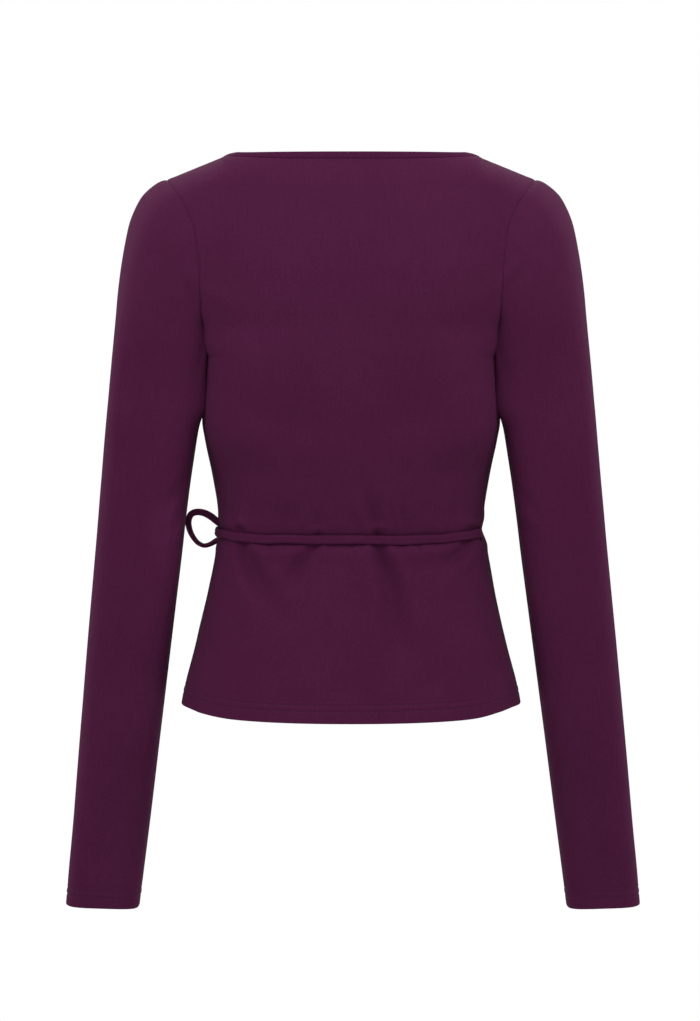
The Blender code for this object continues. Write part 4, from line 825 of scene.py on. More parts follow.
def shell(name, outer, inner, U, V, material, ring=False):
    """A closed wall of cloth between two grids of points.  U and V are the cloth's own coordinates."""
    m, n = outer.shape[:2]
    verts = np.concatenate([outer.reshape(-1, 3), inner.reshape(-1, 3)])
    idx = np.arange(m * n).reshape(m, n)
    if ring:
        idx = np.concatenate([idx, idx[:, :1]], 1)
    k = idx.shape[1]
    a, b, c, d = idx[:-1, :-1], idx[:-1, 1:], idx[1:, 1:], idx[1:, :-1]
    quads = np.stack([a, b, c, d], -1).reshape(-1, 4)
    jj, ii = np.meshgrid(np.arange(m - 1), np.arange(k - 1), indexing="ij")
    cj = np.stack([jj, jj, jj + 1, jj + 1], -1).reshape(-1, 4)
    ci = np.stack([ii, ii + 1, ii + 1, ii], -1).reshape(-1, 4)
    p = verts[quads]
    face_n = np.cross(p[:, 1] - p[:, 0], p[:, 3] - p[:, 0])
    if (face_n * (outer.reshape(-1, 3) - inner.reshape(-1, 3))[quads[:, 0]]).sum() < 0:
        quads, cj, ci = quads[:, ::-1], cj[:, ::-1], ci[:, ::-1]
    off = m * n
    faces = [quads, quads[:, ::-1] + off]
    uv = np.stack([U[cj, ci], V[cj, ci]], -1)
    uvs = [uv, uv[:, ::-1]]
    fu, fv = ci / (k - 1), cj / (m - 1)
    bake = [np.stack([0.004 + 0.484 * fu, 0.004 + 0.992 * fv], -1)]
    bake.append(np.stack([0.512 + 0.484 * fu, 0.004 + 0.992 * fv], -1)[:, ::-1])
    borders = [[(0, i) for i in range(k)], [(m - 1, i) for i in range(k)]]
    if not ring:
        borders += [[(j, 0) for j in range(m)], [(j, k - 1) for j in range(m)]]
    for which, line in enumerate(borders):
        line = np.array(line)
        p0, p1 = line[:-1], line[1:]
        i0, i1 = idx[p0[:, 0], p0[:, 1]], idx[p1[:, 0], p1[:, 1]]
        f = np.stack([i0, i1, i1 + off, i0 + off], -1)
        # a rim's face points away from the sheet's middle
        mid = verts[f].mean(1)
        nj = np.clip(p0[:, 0] + (1 if which == 0 else -1 if which == 1 else 0), 0, m - 1)
        ni = np.clip(p0[:, 1] + (1 if which == 2 else -1 if which == 3 else 0), 0, k - 1)
        back = verts[idx[nj, ni]]
        fn = np.cross(verts[f[:, 1]] - verts[f[:, 0]], verts[f[:, 3]] - verts[f[:, 0]])
        flip = (fn * (mid - back)).sum() < 0
        cu, cv = U[line[:, 0], line[:, 1]], V[line[:, 0], line[:, 1]]
        u4 = np.stack([np.stack([cu[:-1], cv[:-1]], -1), np.stack([cu[1:], cv[1:]], -1),
                       np.stack([cu[1:], cv[1:]], -1), np.stack([cu[:-1], cv[:-1]], -1)], 1)
        s = np.linspace(0, 1, len(line))
        v0 = 0.004 + 0.248 * which + 0.24 * s
        b4 = np.stack([np.stack([np.full(len(s) - 1, 0.494), v0[:-1]], -1), np.stack([np.full(len(s) - 1, 0.494), v0[1:]], -1),
                       np.stack([np.full(len(s) - 1, 0.506), v0[1:]], -1), np.stack([np.full(len(s) - 1, 0.506), v0[:-1]], -1)], 1)
        if flip:
            f, u4, b4 = f[:, ::-1], u4[:, ::-1], b4[:, ::-1]
        faces.append(f)
        uvs.append(u4)
        bake.append(b4)
    return finish_mesh(name, verts, np.concatenate(faces), np.concatenate(uvs), np.concatenate(bake), material)


def grid_uv(P, centre_column, ring=False):
    """Cloth coordinates in metres: round the row from a column, and up the grid."""
    m, n = P.shape[:2]
    if ring:
        P = np.concatenate([P, P[:, :1]], 1)
    du = np.linalg.norm(np.diff(P, axis=1), axis=2)
    U = np.concatenate([np.zeros((m, 1)), np.cumsum(du, 1)], 1)
    U = U - U[:, centre_column:centre_column + 1]
    dv = np.linalg.norm(np.diff(P, axis=0), axis=2)
    V = np.concatenate([np.zeros((1, P.shape[1])), np.cumsum(dv, 0)], 0)
    V = lerp(V, V.mean(1, keepdims=True), 0.5)
    return U, V


def edge_runs(P):
    """For each point, its distance along the row from the first and the last column."""
    du = np.linalg.norm(np.diff(P, axis=1), axis=2)
    run = np.concatenate([np.zeros((P.shape[0], 1)), np.cumsum(du, 1)], 1)
    return run, run[:, -1:] - run


def fold_edge(height, rise, turn, rows):
    """Offsets of the outer and inner face near a turned and stitched edge: height is the distance
    from the edge, rise the relief there.  Returns what is added outside and the wall's thickness."""
    thick = CLOTH + CLOTH * 0.85 * (1 - step(turn - 0.0004, turn + 0.0006, height))
    out = rise * 1.0
    for h in rows:
        out = out - 0.00046 * np.exp(-((height - h) / 0.00105) ** 2)
    mid = (rows[0] + rows[1]) / 2
    out = out + 0.00022 * np.exp(-((height - mid) / 0.0021) ** 2)
    out = out - 0.00014 * np.exp(-((height - turn - 0.0012) / 0.0012) ** 2)
    half = 0.5 * thick * np.sqrt(np.clip(1 - (1 - np.minimum(1.0, height / (0.5 * thick))) ** 2, 0.02, 1))
    trim = 0.5 * thick - half
    return out - trim, thick - 2 * trim


# ---------------------------------------------------------------- materials
def jersey(name, base, deep, bright, knit=1.0, slot_rough=0.86):
    """Fine plain knit: columns of small V stitches, a heathered grain and a soft fibre sheen."""
    m = bpy.data.materials.new(name)
    m.use_nodes = True
    nt = m.node_tree
    nt.nodes.clear()

    def add(kind, **props):
        node = nt.nodes.new(kind)
        for k, v in props.items():
            setattr(node, k, v)
        return node

    def math_node(op, a, b=None, clamp=False):
        node = add("ShaderNodeMath", operation=op, use_clamp=clamp)
        for i, v in enumerate((a, b)):
            if v is None:
                continue
            if isinstance(v, (int, float)):
                node.inputs[i].default_value = v
            else:
                nt.links.new(v, node.inputs[i])
        return node.outputs[0]

    out = add("ShaderNodeOutputMaterial")
    bsdf = add("ShaderNodeBsdfPrincipled")
    nt.links.new(bsdf.outputs[0], out.inputs[0])
    uv = add("ShaderNodeUVMap", uv_map="cloth")
    sep = add("ShaderNodeSeparateXYZ")
    nt.links.new(uv.outputs[0], sep.inputs[0])
    u = math_node("MULTIPLY", sep.outputs[0], 1000.0)
    v = math_node("MULTIPLY", sep.outputs[1], 1000.0)

    # stitches: wales 0.80 mm apart, courses 0.62 mm apart
    wale = math_node("FRACT", math_node("DIVIDE", u, 0.80))
    m1 = math_node("ABSOLUTE", math_node("SUBTRACT", math_node("MULTIPLY", wale, 2.0), 1.0))
    phase = math_node("ADD", math_node("DIVIDE", v, 0.62), math_node("MULTIPLY", m1, 0.5))
    wave = math_node("SINE", math_node("MULTIPLY", phase, 2 * math.pi))
    leg = math_node("SUBTRACT", 1.0, math_node("ABSOLUTE", math_node("SUBTRACT", math_node("MULTIPLY", m1, 2.0), 1.0)))
    knit_h = math_node("ADD", math_node("MULTIPLY", wave, 0.35), math_node("MULTIPLY", leg, 0.75))

    # heather: fibres of slightly different shade, drawn out along the wales
    stretch = add("ShaderNodeMapping")
    stretch.inputs["Scale"].default_value = (900.0, 330.0, 1.0)
    nt.links.new(uv.outputs[0], stretch.inputs[0])
    grain = add("ShaderNodeTexNoise")
    grain.inputs["Scale"].default_value = 1.0
    grain.inputs["Detail"].default_value = 2.0
    grain.inputs["Roughness"].default_value = 0.6
    nt.links.new(stretch.outputs[0], grain.inputs["Vector"])
    streak_map = add("ShaderNodeMapping")
    streak_map.inputs["Scale"].default_value = (520.0, 46.0, 1.0)
    nt.links.new(uv.outputs[0], streak_map.inputs[0])
    streak = add("ShaderNodeTexNoise")
    streak.inputs["Scale"].default_value = 1.0
    streak.inputs["Detail"].default_value = 3.0
    nt.links.new(streak_map.outputs[0], streak.inputs["Vector"])
    geo = add("ShaderNodeTexCoord")
    patch = add("ShaderNodeTexNoise")
    patch.inputs["Scale"].default_value = 14.0
    patch.inputs["Detail"].default_value = 3.0
    nt.links.new(geo.outputs["Object"], patch.inputs["Vector"])

    tone = math_node("ADD", math_node("MULTIPLY", grain.outputs["Fac"], 0.50),
                     math_node("MULTIPLY", streak.outputs["Fac"], 0.26))
    tone = math_node("ADD", tone, math_node("MULTIPLY", patch.outputs["Fac"], 0.24))
    tone = math_node("ADD", tone, math_node("MULTIPLY", math_node("SUBTRACT", leg, 0.5), 0.05))
    ramp = add("ShaderNodeValToRGB")
    ramp.color_ramp.elements[0].position = 0.30
    ramp.color_ramp.elements[0].color = (*deep, 1)
    ramp.color_ramp.elements[1].position = 0.70
    ramp.color_ramp.elements[1].color = (*bright, 1)
    middle = ramp.color_ramp.elements.new(0.5)
    middle.color = (*base, 1)
    nt.links.new(tone, ramp.inputs[0])
    nt.links.new(ramp.outputs[0], bsdf.inputs["Base Color"])

    rough = add("ShaderNodeMapRange")
    rough.inputs["To Min"].default_value = slot_rough - 0.05
    rough.inputs["To Max"].default_value = slot_rough + 0.05
    nt.links.new(grain.outputs["Fac"], rough.inputs["Value"])
    nt.links.new(rough.outputs[0], bsdf.inputs["Roughness"])

    bump_knit = add("ShaderNodeBump")
    bump_knit.inputs["Strength"].default_value = 0.30 * knit
    bump_knit.inputs["Distance"].default_value = 0.00012
    nt.links.new(knit_h, bump_knit.inputs["Height"])
    bump_fibre = add("ShaderNodeBump")
    bump_fibre.inputs["Strength"].default_value = 0.28
    bump_fibre.inputs["Distance"].default_value = 0.00025
    nt.links.new(grain.outputs["Fac"], bump_fibre.inputs["Height"])
    nt.links.new(bump_knit.outputs[0], bump_fibre.inputs["Normal"])
    nt.links.new(bump_fibre.outputs[0], bsdf.inputs["Normal"])

    bsdf.inputs["Metallic"].default_value = 0.0
    bsdf.inputs["Specular IOR Level"].default_value = 0.03
    bsdf.inputs["Sheen Weight"].default_value = 0.02
    bsdf.inputs["Sheen Roughness"].default_value = 0.55
    bsdf.inputs["Sheen Tint"].default_value = (0.95, 0.45, 0.72, 1.0)
    return m


CLOTH_MAT = jersey("plum_jersey", (0.0553, 0.0084, 0.0342), (0.0466, 0.0065, 0.0283), (0.0659, 0.0111, 0.0414))
BAND_MAT = jersey("plum_jersey_band", (0.0516, 0.0077, 0.0319), (0.0429, 0.0059, 0.0261), (0.0618, 0.0102, 0.0386))
TIE_MAT = jersey("plum_jersey_tie", (0.0535, 0.0081, 0.0330), (0.0443, 0.0062, 0.0269), (0.0636, 0.0107, 0.0401))


def thread_material():
    m = bpy.data.materials.new("plum_thread")
    m.use_nodes = True
    nt = m.node_tree
    b = nt.nodes["Principled BSDF"]
    co = nt.nodes.new("ShaderNodeTexCoord")
    wave = nt.nodes.new("ShaderNodeTexWave")
    wave.inputs["Scale"].default_value = 900.0
    wave.inputs["Distortion"].default_value = 1.0
    ramp = nt.nodes.new("ShaderNodeValToRGB")
    ramp.color_ramp.elements[0].color = (0.0360, 0.0055, 0.0222, 1)
    ramp.color_ramp.elements[1].color = (0.0510, 0.0082, 0.0318, 1)
    nt.links.new(co.outputs["Object"], wave.inputs["Vector"])
    nt.links.new(wave.outputs["Fac"], ramp.inputs[0])
    nt.links.new(ramp.outputs[0], b.inputs["Base Color"])
    b.inputs["Roughness"].default_value = 0.55
    b.inputs["Specular IOR Level"].default_value = 0.3
    return m


THREAD_MAT = thread_material()


# ---------------------------------------------------------------- stitches
def stitches(name, path, normal, length=0.0027, gap=0.0007, half=0.00015, lift=0.00001):
    """One row of thread stitches laid along a path on the cloth, as one mesh."""
    run = run_of(path)
    count = int(run[-1] / (length + gap))
    pitch = run[-1] / count
    verts, faces = [], []
    profile = ((0.0, 0.25), (0.18, 0.85), (0.5, 1.0), (0.82, 0.85), (1.0, 0.25))
    for k in range(count):
        s0 = k * pitch + gap * 0.5
        s1 = (k + 1) * pitch - gap * 0.5
        base = len(verts)
        s = np.array([lerp(s0, s1, f) for f, _ in profile])
        pts = np.stack([np.interp(s, run, path[:, i]) for i in range(3)], 1)
        nrm = unit(np.stack([np.interp(s, run, normal[:, i]) for i in range(3)], 1))
        tan = unit(np.gradient(pts, axis=0))
        side = unit(np.cross(tan, nrm))
        for i, (f, r) in enumerate(profile):
            sink = -0.00020 if i in (0, len(profile) - 1) else lift
            for q in range(6):
                a = 2 * math.pi * q / 6
                verts.append(pts[i] + nrm[i] * (sink + half * r * math.sin(a)) + side[i] * (half * 1.25 * r * math.cos(a)))
        for i in range(len(profile) - 1):
            for q in range(6):
                a, b = base + i * 6 + q, base + i * 6 + (q + 1) % 6
                faces.append((a, b, b + 6, a + 6))
        e = base + (len(profile) - 1) * 6
        faces.append(tuple(base + q for q in (5, 4, 3, 2)))
        faces.append(tuple(base + q for q in (5, 2, 1, 0)))
        faces.append(tuple(e + q for q in (0, 1, 2, 3)))
        faces.append(tuple(e + q for q in (0, 3, 4, 5)))
    ob = finish_mesh(name, np.array(verts), np.array(faces), material=THREAD_MAT, sharp=None)
    return ob


def level_line(P, N, extra, height_grid, want):
    """The line on a grid at a given height above its first row."""
    pts, nrm = [], []
    O = P + N * extra[..., None]
    for i in range(P.shape[1]):
        h = height_grid[:, i]
        pts.append([np.interp(want, h, O[:, i, k]) for k in range(3)])
        nrm.append([np.interp(want, h, N[:, i, k]) for k in range(3)])
    return np.array(pts), unit(np.array(nrm))


# ---------------------------------------------------------------- the body's panels
back = eased(back_grid(), (0, -1))
Q_FRONT = graded(0.300, 0.0006, 0.0028, 0.012)
front_l = eased(front_grid(1, lambda z: -edge_inner(z), seam_left, False, Q_FRONT), (0,))
front_r = eased(front_grid(-1, lambda z: -edge_outer(z), seam_right, True, Q_FRONT), (0,))
sleeve, CAP_RINGS = sleeve_grid()
sleeve_l, sleeve_r = splayed(sleeve, 1), splayed(sleeve, -1)

back_n = outward(back, normals_of(back), torso_axis)
front_l_n = outward(front_l, normals_of(front_l), torso_axis)
front_r_n = outward(front_r, normals_of(front_r), torso_axis)
sleeve_l_n = outward(sleeve_l, normals_of(sleeve_l, ring=True), sleeve_axis(1))
sleeve_r_n = outward(sleeve_r, normals_of(sleeve_r, ring=True), sleeve_axis(-1))

M = len(LEVELS) - 1      # the underarm's row
slope = math.atan2(NECK_Z - SHOULDER_Z, SHOULDER_X - NECK_X)
ease = 8                 # columns or rows over which a shared normal fades into a panel's own


def share(*edges):
    """Gives lines of points that meet along a seam one common normal."""
    total = unit(sum(unit(n[idx]) for n, idx in edges))
    for n, idx in edges:
        n[idx] = total


rows_low = slice(0, M + 1)
share((back_n, (rows_low, 0)), (front_r_n, (rows_low, 0)))
share((back_n, (rows_low, -1)), (front_l_n, (rows_low, 0)))
for i in range(N_ARM + 1):
    # sleeve column k: 0 is the shoulder point, N_ARM the underarm, then up the front
    kb, kf = N_ARM - i, (N_ARM + i) % (2 * N_ARM)
    for n_side, b_col, f_n, s_n in ((1, -1, front_l_n, sleeve_l_n), (-1, 0, front_r_n, sleeve_r_n)):
        nb = unit(back_n[M + i, b_col] + s_n[0, kb])
        nf = unit(f_n[M + i, 0] + s_n[0, kf])
        if i == 0 or i == N_ARM:
            nb = nf = unit(back_n[M + i, b_col] + f_n[M + i, 0] + s_n[0, kb])
        back_n[M + i, b_col] = nb
        f_n[M + i, 0] = nf
        s_n[0, kb], s_n[0, kf] = nb, nf
top_l = np.array((math.sin(slope), 0.0, math.cos(slope)))
top_r = np.array((-math.sin(slope), 0.0, math.cos(slope)))
k_all = np.abs(2 * Q_BACK - 1)
for i in range(len(Q_BACK)):
    if k_all[i] >= 0.7 - 1e-9:
        back_n[-1, i] = top_l if Q_BACK[i] > 0.5 else top_r
front_l_n[-1, :] = top_l
front_r_n[-1, :] = top_r


def heights(P):
    """Distance of each point above the first row, along its column."""
    dv = np.linalg.norm(np.diff(P, axis=0), axis=2)
    return np.concatenate([np.zeros((1, P.shape[1])), np.cumsum(dv, 0)], 0)


def body_panel(name, P, N, seam_sides, centre_column, under=0.0, free_edge=False):
    near, far = edge_runs(P)
    h = heights(P)
    rise = body_relief(P)
    if "first" in seam_sides:
        rise = rise + seam_dent(near)
    if "last" in seam_sides:
        rise = rise + seam_dent(far)
    top = heights(P[::-1])[::-1]
    shoulder = np.exp(-(top / 0.0011) ** 2)
    if name.startswith("back"):
        on = (np.abs(P[..., 0]) > NECK_X - 0.001) | (top > 0.02)
        rise = rise - 0.00045 * shoulder * on - 0.00035 * np.exp(-(top / 0.0009) ** 2) * ~on
    else:
        rise = rise - 0.00045 * shoulder
    if free_edge:
        rise = rise - 0.00030 * np.exp(-(far / 0.0012) ** 2)
    out, wall = fold_edge(h, rise, HEM_TURN, HEM_ROWS)
    if under:
        away = step(0.0, 0.030, near)
        low = step(-0.05, -0.13, P[..., 2])
        out = out * (1 - 0.55 * away * low) - under * away * low
    O = P + N * out[..., None]
    I = O - N * wall[..., None]
    U, V = grid_uv(P, centre_column)
    return shell(name, O, I, U, V, CLOTH_MAT), O, out, h


mid_col = int(np.argmin(np.abs(Q_BACK - 0.5)))
back_ob, back_O, back_out, back_h = body_panel("back_panel", back, back_n, ("first", "last"), mid_col)
left_ob, left_O, left_out, left_h = body_panel("front_left_panel", front_l, front_l_n, ("first",), 0, under=UNDER, free_edge=True)
right_ob, right_O, right_out, right_h = body_panel("front_right_panel", front_r, front_r_n, ("first",), 0, free_edge=True)


# ---------------------------------------------------------------- sleeves
def sleeve_panel(name, P, N, side, table):
    m, n = P.shape[:2]
    psi = 2 * math.pi * np.arange(n) / n
    around = np.where(psi > math.pi * 1.5, psi - 2 * math.pi, psi) - math.pi / 2      # 0 at the back
    s = np.broadcast_to(around * 0.043, (m, n))
    at = np.stack([s, P[..., 2]], -1)
    rise = folds(at, table) + shoulder_relief(P)
    run = heights(P)
    cap = step(0.0, 0.010, run)
    rise = rise * cap + (1 - cap) * shoulder_relief(P)
    if True:
        # at the armhole the sleeve shares the body's relief
        rim = body_relief(P) * (1 - step(0.0, 0.012, run))
        rise = rise * step(0.0, 0.012, run) + rim
    rise = rise + seam_dent(run, deep=0.00060)
    # the sleeve seam runs down from the underarm
    j0 = N_ARM
    d = np.abs(psi - psi[j0]) * 0.040
    rise = rise + seam_dent(np.broadcast_to(d, (m, n)), deep=0.00045, half=0.0013) * step(0.002, 0.012, run)
    h = heights(P[::-1])[::-1]
    out, wall = fold_edge(h, rise, CUFF_TURN, CUFF_ROWS)
    O = P + N * out[..., None]
    I = O - N * wall[..., None]
    U, V = grid_uv(P[::-1], 0, ring=True)
    return shell(name, O, I, U[::-1], V[::-1], CLOTH_MAT, ring=True), O, out, h


sl_ob, sl_O, sl_out, sl_h = sleeve_panel("sleeve_left_tube", sleeve_l, sleeve_l_n, 1, SLEEVE_FOLDS_LEFT)
sr_ob, sr_O, sr_out, sr_h = sleeve_panel("sleeve_right_tube", sleeve_r, sleeve_r_n, -1, SLEEVE_FOLDS_RIGHT)

thread = []
for tag, P, N, out, h in (("back", back, back_n, back_out, back_h), ("front_left", front_l, front_l_n, left_out, left_h),
                          ("front_right", front_r, front_r_n, right_out, right_h)):
    for row, want in enumerate(HEM_ROWS):
        line, nrm = level_line(P, N, out, h, want)
        thread.append((stitches(f"hem_stitches_{tag}_{row}", line, nrm), tag, "body_jersey"))
for tag, P, N, out, h in (("sleeve_left", sleeve_l, sleeve_l_n, sl_out, sl_h),
                          ("sleeve_right", sleeve_r, sleeve_r_n, sr_out, sr_h)):
    for row, want in enumerate(CUFF_ROWS):
        line, nrm = level_line(P[::-1], N[::-1], out[::-1], h[::-1], want)
        line, nrm = np.concatenate([line, line[:1]]), np.concatenate([nrm, nrm[:1]])
        thread.append((stitches(f"cuff_stitches_{tag}_{row}", line, nrm), tag, "body_jersey"))


# ---------------------------------------------------------------- strips: bands and ties
def strip_tube(name, path, across, normal, profile, material, hollow=0.00070, cloth_width=None):
    """A folded strip of cloth: a closed tube of the given profile along a path, with its own wall.
    profile is (n, 2): across and outward, in metres; or (m, n, 2) for one for each point."""
    m = len(path)
    prof = np.broadcast_to(profile, (m, *np.shape(profile)[-2:]))
    n = prof.shape[1]
    outer = path[:, None] + across[:, None] * prof[..., :1] + normal[:, None] * prof[..., 1:]
    t = unit(np.roll(prof, -1, 1) - np.roll(prof, 1, 1))
    nrm2 = np.stack([t[..., 1], -t[..., 0]], -1)
    mid = prof.mean(1, keepdims=True)
    if (nrm2 * (prof - mid)).sum() < 0:
        nrm2 = -nrm2
    inn = prof - nrm2 * hollow
    # the two layers touch inside, so the hollow keeps a sliver of room
    flat = (prof[..., 1:] - mid[..., 1:])
    inn[..., 1:] = mid[..., 1:] + flat * 0.30
    inner = path[:, None] + across[:, None] * inn[..., :1] + normal[:, None] * inn[..., 1:]
    per = np.concatenate([[0.0], np.cumsum(np.linalg.norm(np.diff(np.concatenate([prof[0], prof[0][:1]]), axis=0), axis=1))])
    run = run_of(path)
    U = np.broadcast_to(per, (m, n + 1))
    V = np.broadcast_to(run[:, None], (m, n + 1))
    return shell(name, outer, inner, U, V, material, ring=True)


def tube_profile(width, thick, n=44, dish=0.30):
    """Cross section of a turned tube: round edges, and a groove along it where its turnings lie inside."""
    a = 2 * math.pi * np.arange(n) / n
    x = np.sign(np.cos(a)) * np.abs(np.cos(a)) ** 0.80
    y = np.sign(np.sin(a)) * np.abs(np.sin(a)) ** 0.86
    y = y * (1 - dish * np.exp(-((x - 0.12) / 0.15) ** 2) - 0.10 * np.exp(-((x + 0.42) / 0.12) ** 2))
    return np.stack([x * width / 2, y * thick / 2], 1)


def frames_along(path, hint):
    """Directions across and outward for a strip whose outside faces the hint."""
    t = unit(np.gradient(path, axis=0))
    n = unit(hint - t * (hint * t).sum(1, keepdims=True))
    return unit(np.cross(n, t)), n


def on_body(angle, z, lift):
    p = form(angle, z)
    t = unit(form(angle + 0.5, z) - form(angle - 0.5, z))
    up = form(angle, z + 0.004) - form(angle, z - 0.004)
    up = unit(up - t * float(up @ t))
    n = np.cross(t, up)
    if n @ np.array((p[0], p[1], 0)) < 0:
        n = -n
    return p + n * lift, n, t, up


def walk(angle, z, distance):
    sign = 1.0 if distance >= 0 else -1.0
    done, p = 0.0, form(angle, z)
    while done < abs(distance):
        angle += sign * 0.1
        q = form(angle, z)
        done += float(np.linalg.norm(q - p))
        p = q
    return angle


# the long tie: out through the slit, across the back, to the knot
def slit_lift(along):
    return -0.0015 + 0.0034 * math.tanh((along - 0.0006) / 0.0022)


slit_angle = -float(seam_right(SLIT_Z))
path, up_dir, out_dir = [], [], []
for along in np.concatenate([np.linspace(-0.030, -0.006, 9), np.linspace(-0.005, 0.0085, 26)]):
    angle = walk(slit_angle, SLIT_Z, float(along))
    lift = min(slit_lift(along), TIE_LIFT)
    p, n, t, up = on_body(angle, SLIT_Z + 0.0004, lift)
    path.append(p), up_dir.append(up), out_dir.append(n)
end_angle = walk(KNOT_ANGLE, KNOT_Z, -(KNOT_HALF[0] - 0.0010))
start_angle = walk(slit_angle, SLIT_Z, 0.0105)
for k in range(201):
    angle = lerp(start_angle, end_angle, k / 200)
    level = float(tie_level(angle)) + 0.0004 * float(step(8, 0, angle - start_angle))
    wob = 0.00035 * math.sin(angle * 0.11 + 0.6) + 0.00025 * math.sin(angle * 0.29 + 2.0)
    p, n, t, up = on_body(angle, level + wob, TIE_LIFT)
    path.append(p), up_dir.append(up), out_dir.append(n)
path, up_dir, out_dir = map(np.array, (path, up_dir, out_dir))
long_across, long_normal = frames_along(path, out_dir)
prof = tube_profile(TIE_W, TIE_T)
twist = 0.10 * np.sin(np.linspace(0, 15, len(path))) + 0.06 * np.sin(np.linspace(1, 34, len(path)))
ca, sa = np.cos(twist)[:, None], np.sin(twist)[:, None]
width_var = (1 + 0.03 * np.sin(np.linspace(0, 21, len(path))) + 0.02 * np.sin(np.linspace(0, 57, len(path))))
tie_long_ob = strip_tube("tie_long_strip", path, long_across * ca + long_normal * sa,
                         long_normal * ca - long_across * sa, prof[None] * np.stack([width_var, 2 - width_var], -1)[:, None],
                         TIE_MAT)
TIE_LONG_LEN = float(run_of(path)[-1])

# the short tie
corner_angle = front_angle(float(edge_outer(WAIST_Z)), WAIST_Z)
a_start = walk(corner_angle, WAIST_Z, -(BAND_W + 0.0004))
a_end = walk(KNOT_ANGLE, KNOT_Z, KNOT_HALF[0] - 0.0010)
path, out_dir = [], []
for k in range(25):
    f = k / 24
    p, n, t, up = on_body(lerp(a_start, a_end, f), lerp(WAIST_Z, KNOT_Z, f), lerp(0.0010, TIE_LIFT + 0.0006, f))
    path.append(p), out_dir.append(n)
path, out_dir = np.array(path), np.array(out_dir)
ac, no = frames_along(path, out_dir)
tie_short_ob = strip_tube("tie_short_strip", path, ac, no, tube_profile(TIE_W, TIE_T), TIE_MAT)
TIE_SHORT_LEN = float(run_of(path)[-1])

# bow: the loops, the free ends, and the knot that is one turn of tie round them
KNOT_P, KNOT_N, KNOT_T, KNOT_UP = on_body(KNOT_ANGLE, KNOT_Z, KNOT_HALF[1] + 0.0008)
loop = spline(LOOP_OUT, 110)
centre, turn = loop[:, :3], np.radians(loop[:, 3])
tan = unit(np.gradient(centre, axis=0))
flat = unit(np.array((0.0, 1.0, 0.0)) - tan * tan[:, 1:2])
nn = np.cross(tan, flat)
ac = flat * np.cos(turn)[:, None] + nn * np.sin(turn)[:, None]
no = nn * np.cos(turn)[:, None] - flat * np.sin(turn)[:, None]
pinch = 1 - 0.22 * (np.exp(-(np.arange(110) / 14.0) ** 2) + np.exp(-((109 - np.arange(110)) / 14.0) ** 2))
prof = tube_profile(TIE_W, TIE_T)[None] * np.stack([pinch, np.ones(110)], -1)[:, None]
loop_out_ob = strip_tube("bow_loop_out_strip", centre, ac, no, prof, TIE_MAT)
LOOP_OUT_LEN = float(run_of(centre)[-1])

dense = []
for along, z in LOOP_FORWARD:
    p, n, t, up = on_body(walk(KNOT_ANGLE, z, along), z, 0.0044 + TIE_W / 2)
    dense.append(p)
centre = spline(dense, 96)
tan = unit(np.gradient(centre, axis=0))
ac = unit(KNOT_N - tan * (tan @ KNOT_N)[:, None])
no = unit(np.cross(tan, ac))
pinch = 1 - 0.22 * (np.exp(-(np.arange(96) / 12.0) ** 2) + np.exp(-((95 - np.arange(96)) / 12.0) ** 2))
prof = tube_profile(TIE_W, TIE_T)[None] * np.stack([pinch, np.ones(96)], -1)[:, None]
loop_fwd_ob = strip_tube("bow_loop_forward_strip", centre, ac, no, prof, TIE_MAT)
LOOP_FWD_LEN = float(run_of(centre)[-1])

tail_obs, TAIL_LENS = [], []
for (top, bottom, end_z), name in zip(TAILS, ("bow_tail_a_strip", "bow_tail_b_strip")):
    path, al, out_dir = [], [], []
    for k in range(81):
        f = k / 80
        z = lerp(KNOT_Z - KNOT_HALF[2] + 0.0018, end_z, f)
        sway = 0.0016 * math.sin(f * 5.0 + top * 300) * math.sin(math.pi * min(1, f * 1.3))
        angle = walk(KNOT_ANGLE, z, lerp(top, bottom, f) + sway)
        lift = lerp(0.0045, 0.0021, float(step(0.0, 0.25, f))) + 0.0005 * math.sin(f * 9)  ** 2
        p, n, t, up = on_body(angle, z, lift)
        path.append(p), al.append(t), out_dir.append(n)
    path, al, out_dir = map(np.array, (path, al, out_dir))
    ac, no = frames_along(path, out_dir)
    end = np.ones(81)
    prof = tube_profile(TIE_W, TIE_T)[None] * np.stack([end, end], -1)[:, None]
    tail_obs.append(strip_tube(name, path, ac, no, prof, TIE_MAT))
    TAIL_LENS.append(float(run_of(path)[-1]))


def knot():
    """One turn of tie wound over the crossing, pulled snug: a strip of closed rings round the knot."""
    a = 2 * math.pi * np.arange(72) / 72
    hx, hy, hz = KNOT_HALF
    cx = np.sign(np.cos(a)) * np.abs(np.cos(a)) ** 0.75
    sy = np.sign(np.sin(a)) * np.abs(np.sin(a)) ** 0.80
    # the turn runs over the top, down the outside and back under, leaning a little
    ring = KNOT_P + np.outer(sy * hz * 0.98, KNOT_UP) + np.outer(cx * hy * 0.98, KNOT_N) + np.outer(sy * 0.0012, KNOT_T)
    out = []
    for f in np.linspace(-1, 1, 19):
        w = hx * 0.95 * f
        shrink = 1 - 0.22 * abs(f) ** 3.0
        crease = 1 - 0.055 * math.exp(-((f - 0.18) / 0.10) ** 2) - 0.04 * math.exp(-((f + 0.42) / 0.09) ** 2)
        centre = KNOT_P + KNOT_T * w
        out.append(centre + (ring - KNOT_P) * shrink * crease)
    outer = np.array(out)
    mid = outer.mean(1, keepdims=True)
    inner = mid + (outer - mid) * 0.78
    m, n = outer.shape[:2]
    U = np.broadcast_to(np.linspace(0, 0.036, n + 1), (m, n + 1))
    V = np.broadcast_to(np.linspace(0, 0.0125, m)[:, None], (m, n + 1))
    return shell("bow_knot_turn", outer, inner, V * 1.0, U * 1.0, TIE_MAT, ring=True)


knot_ob = knot()


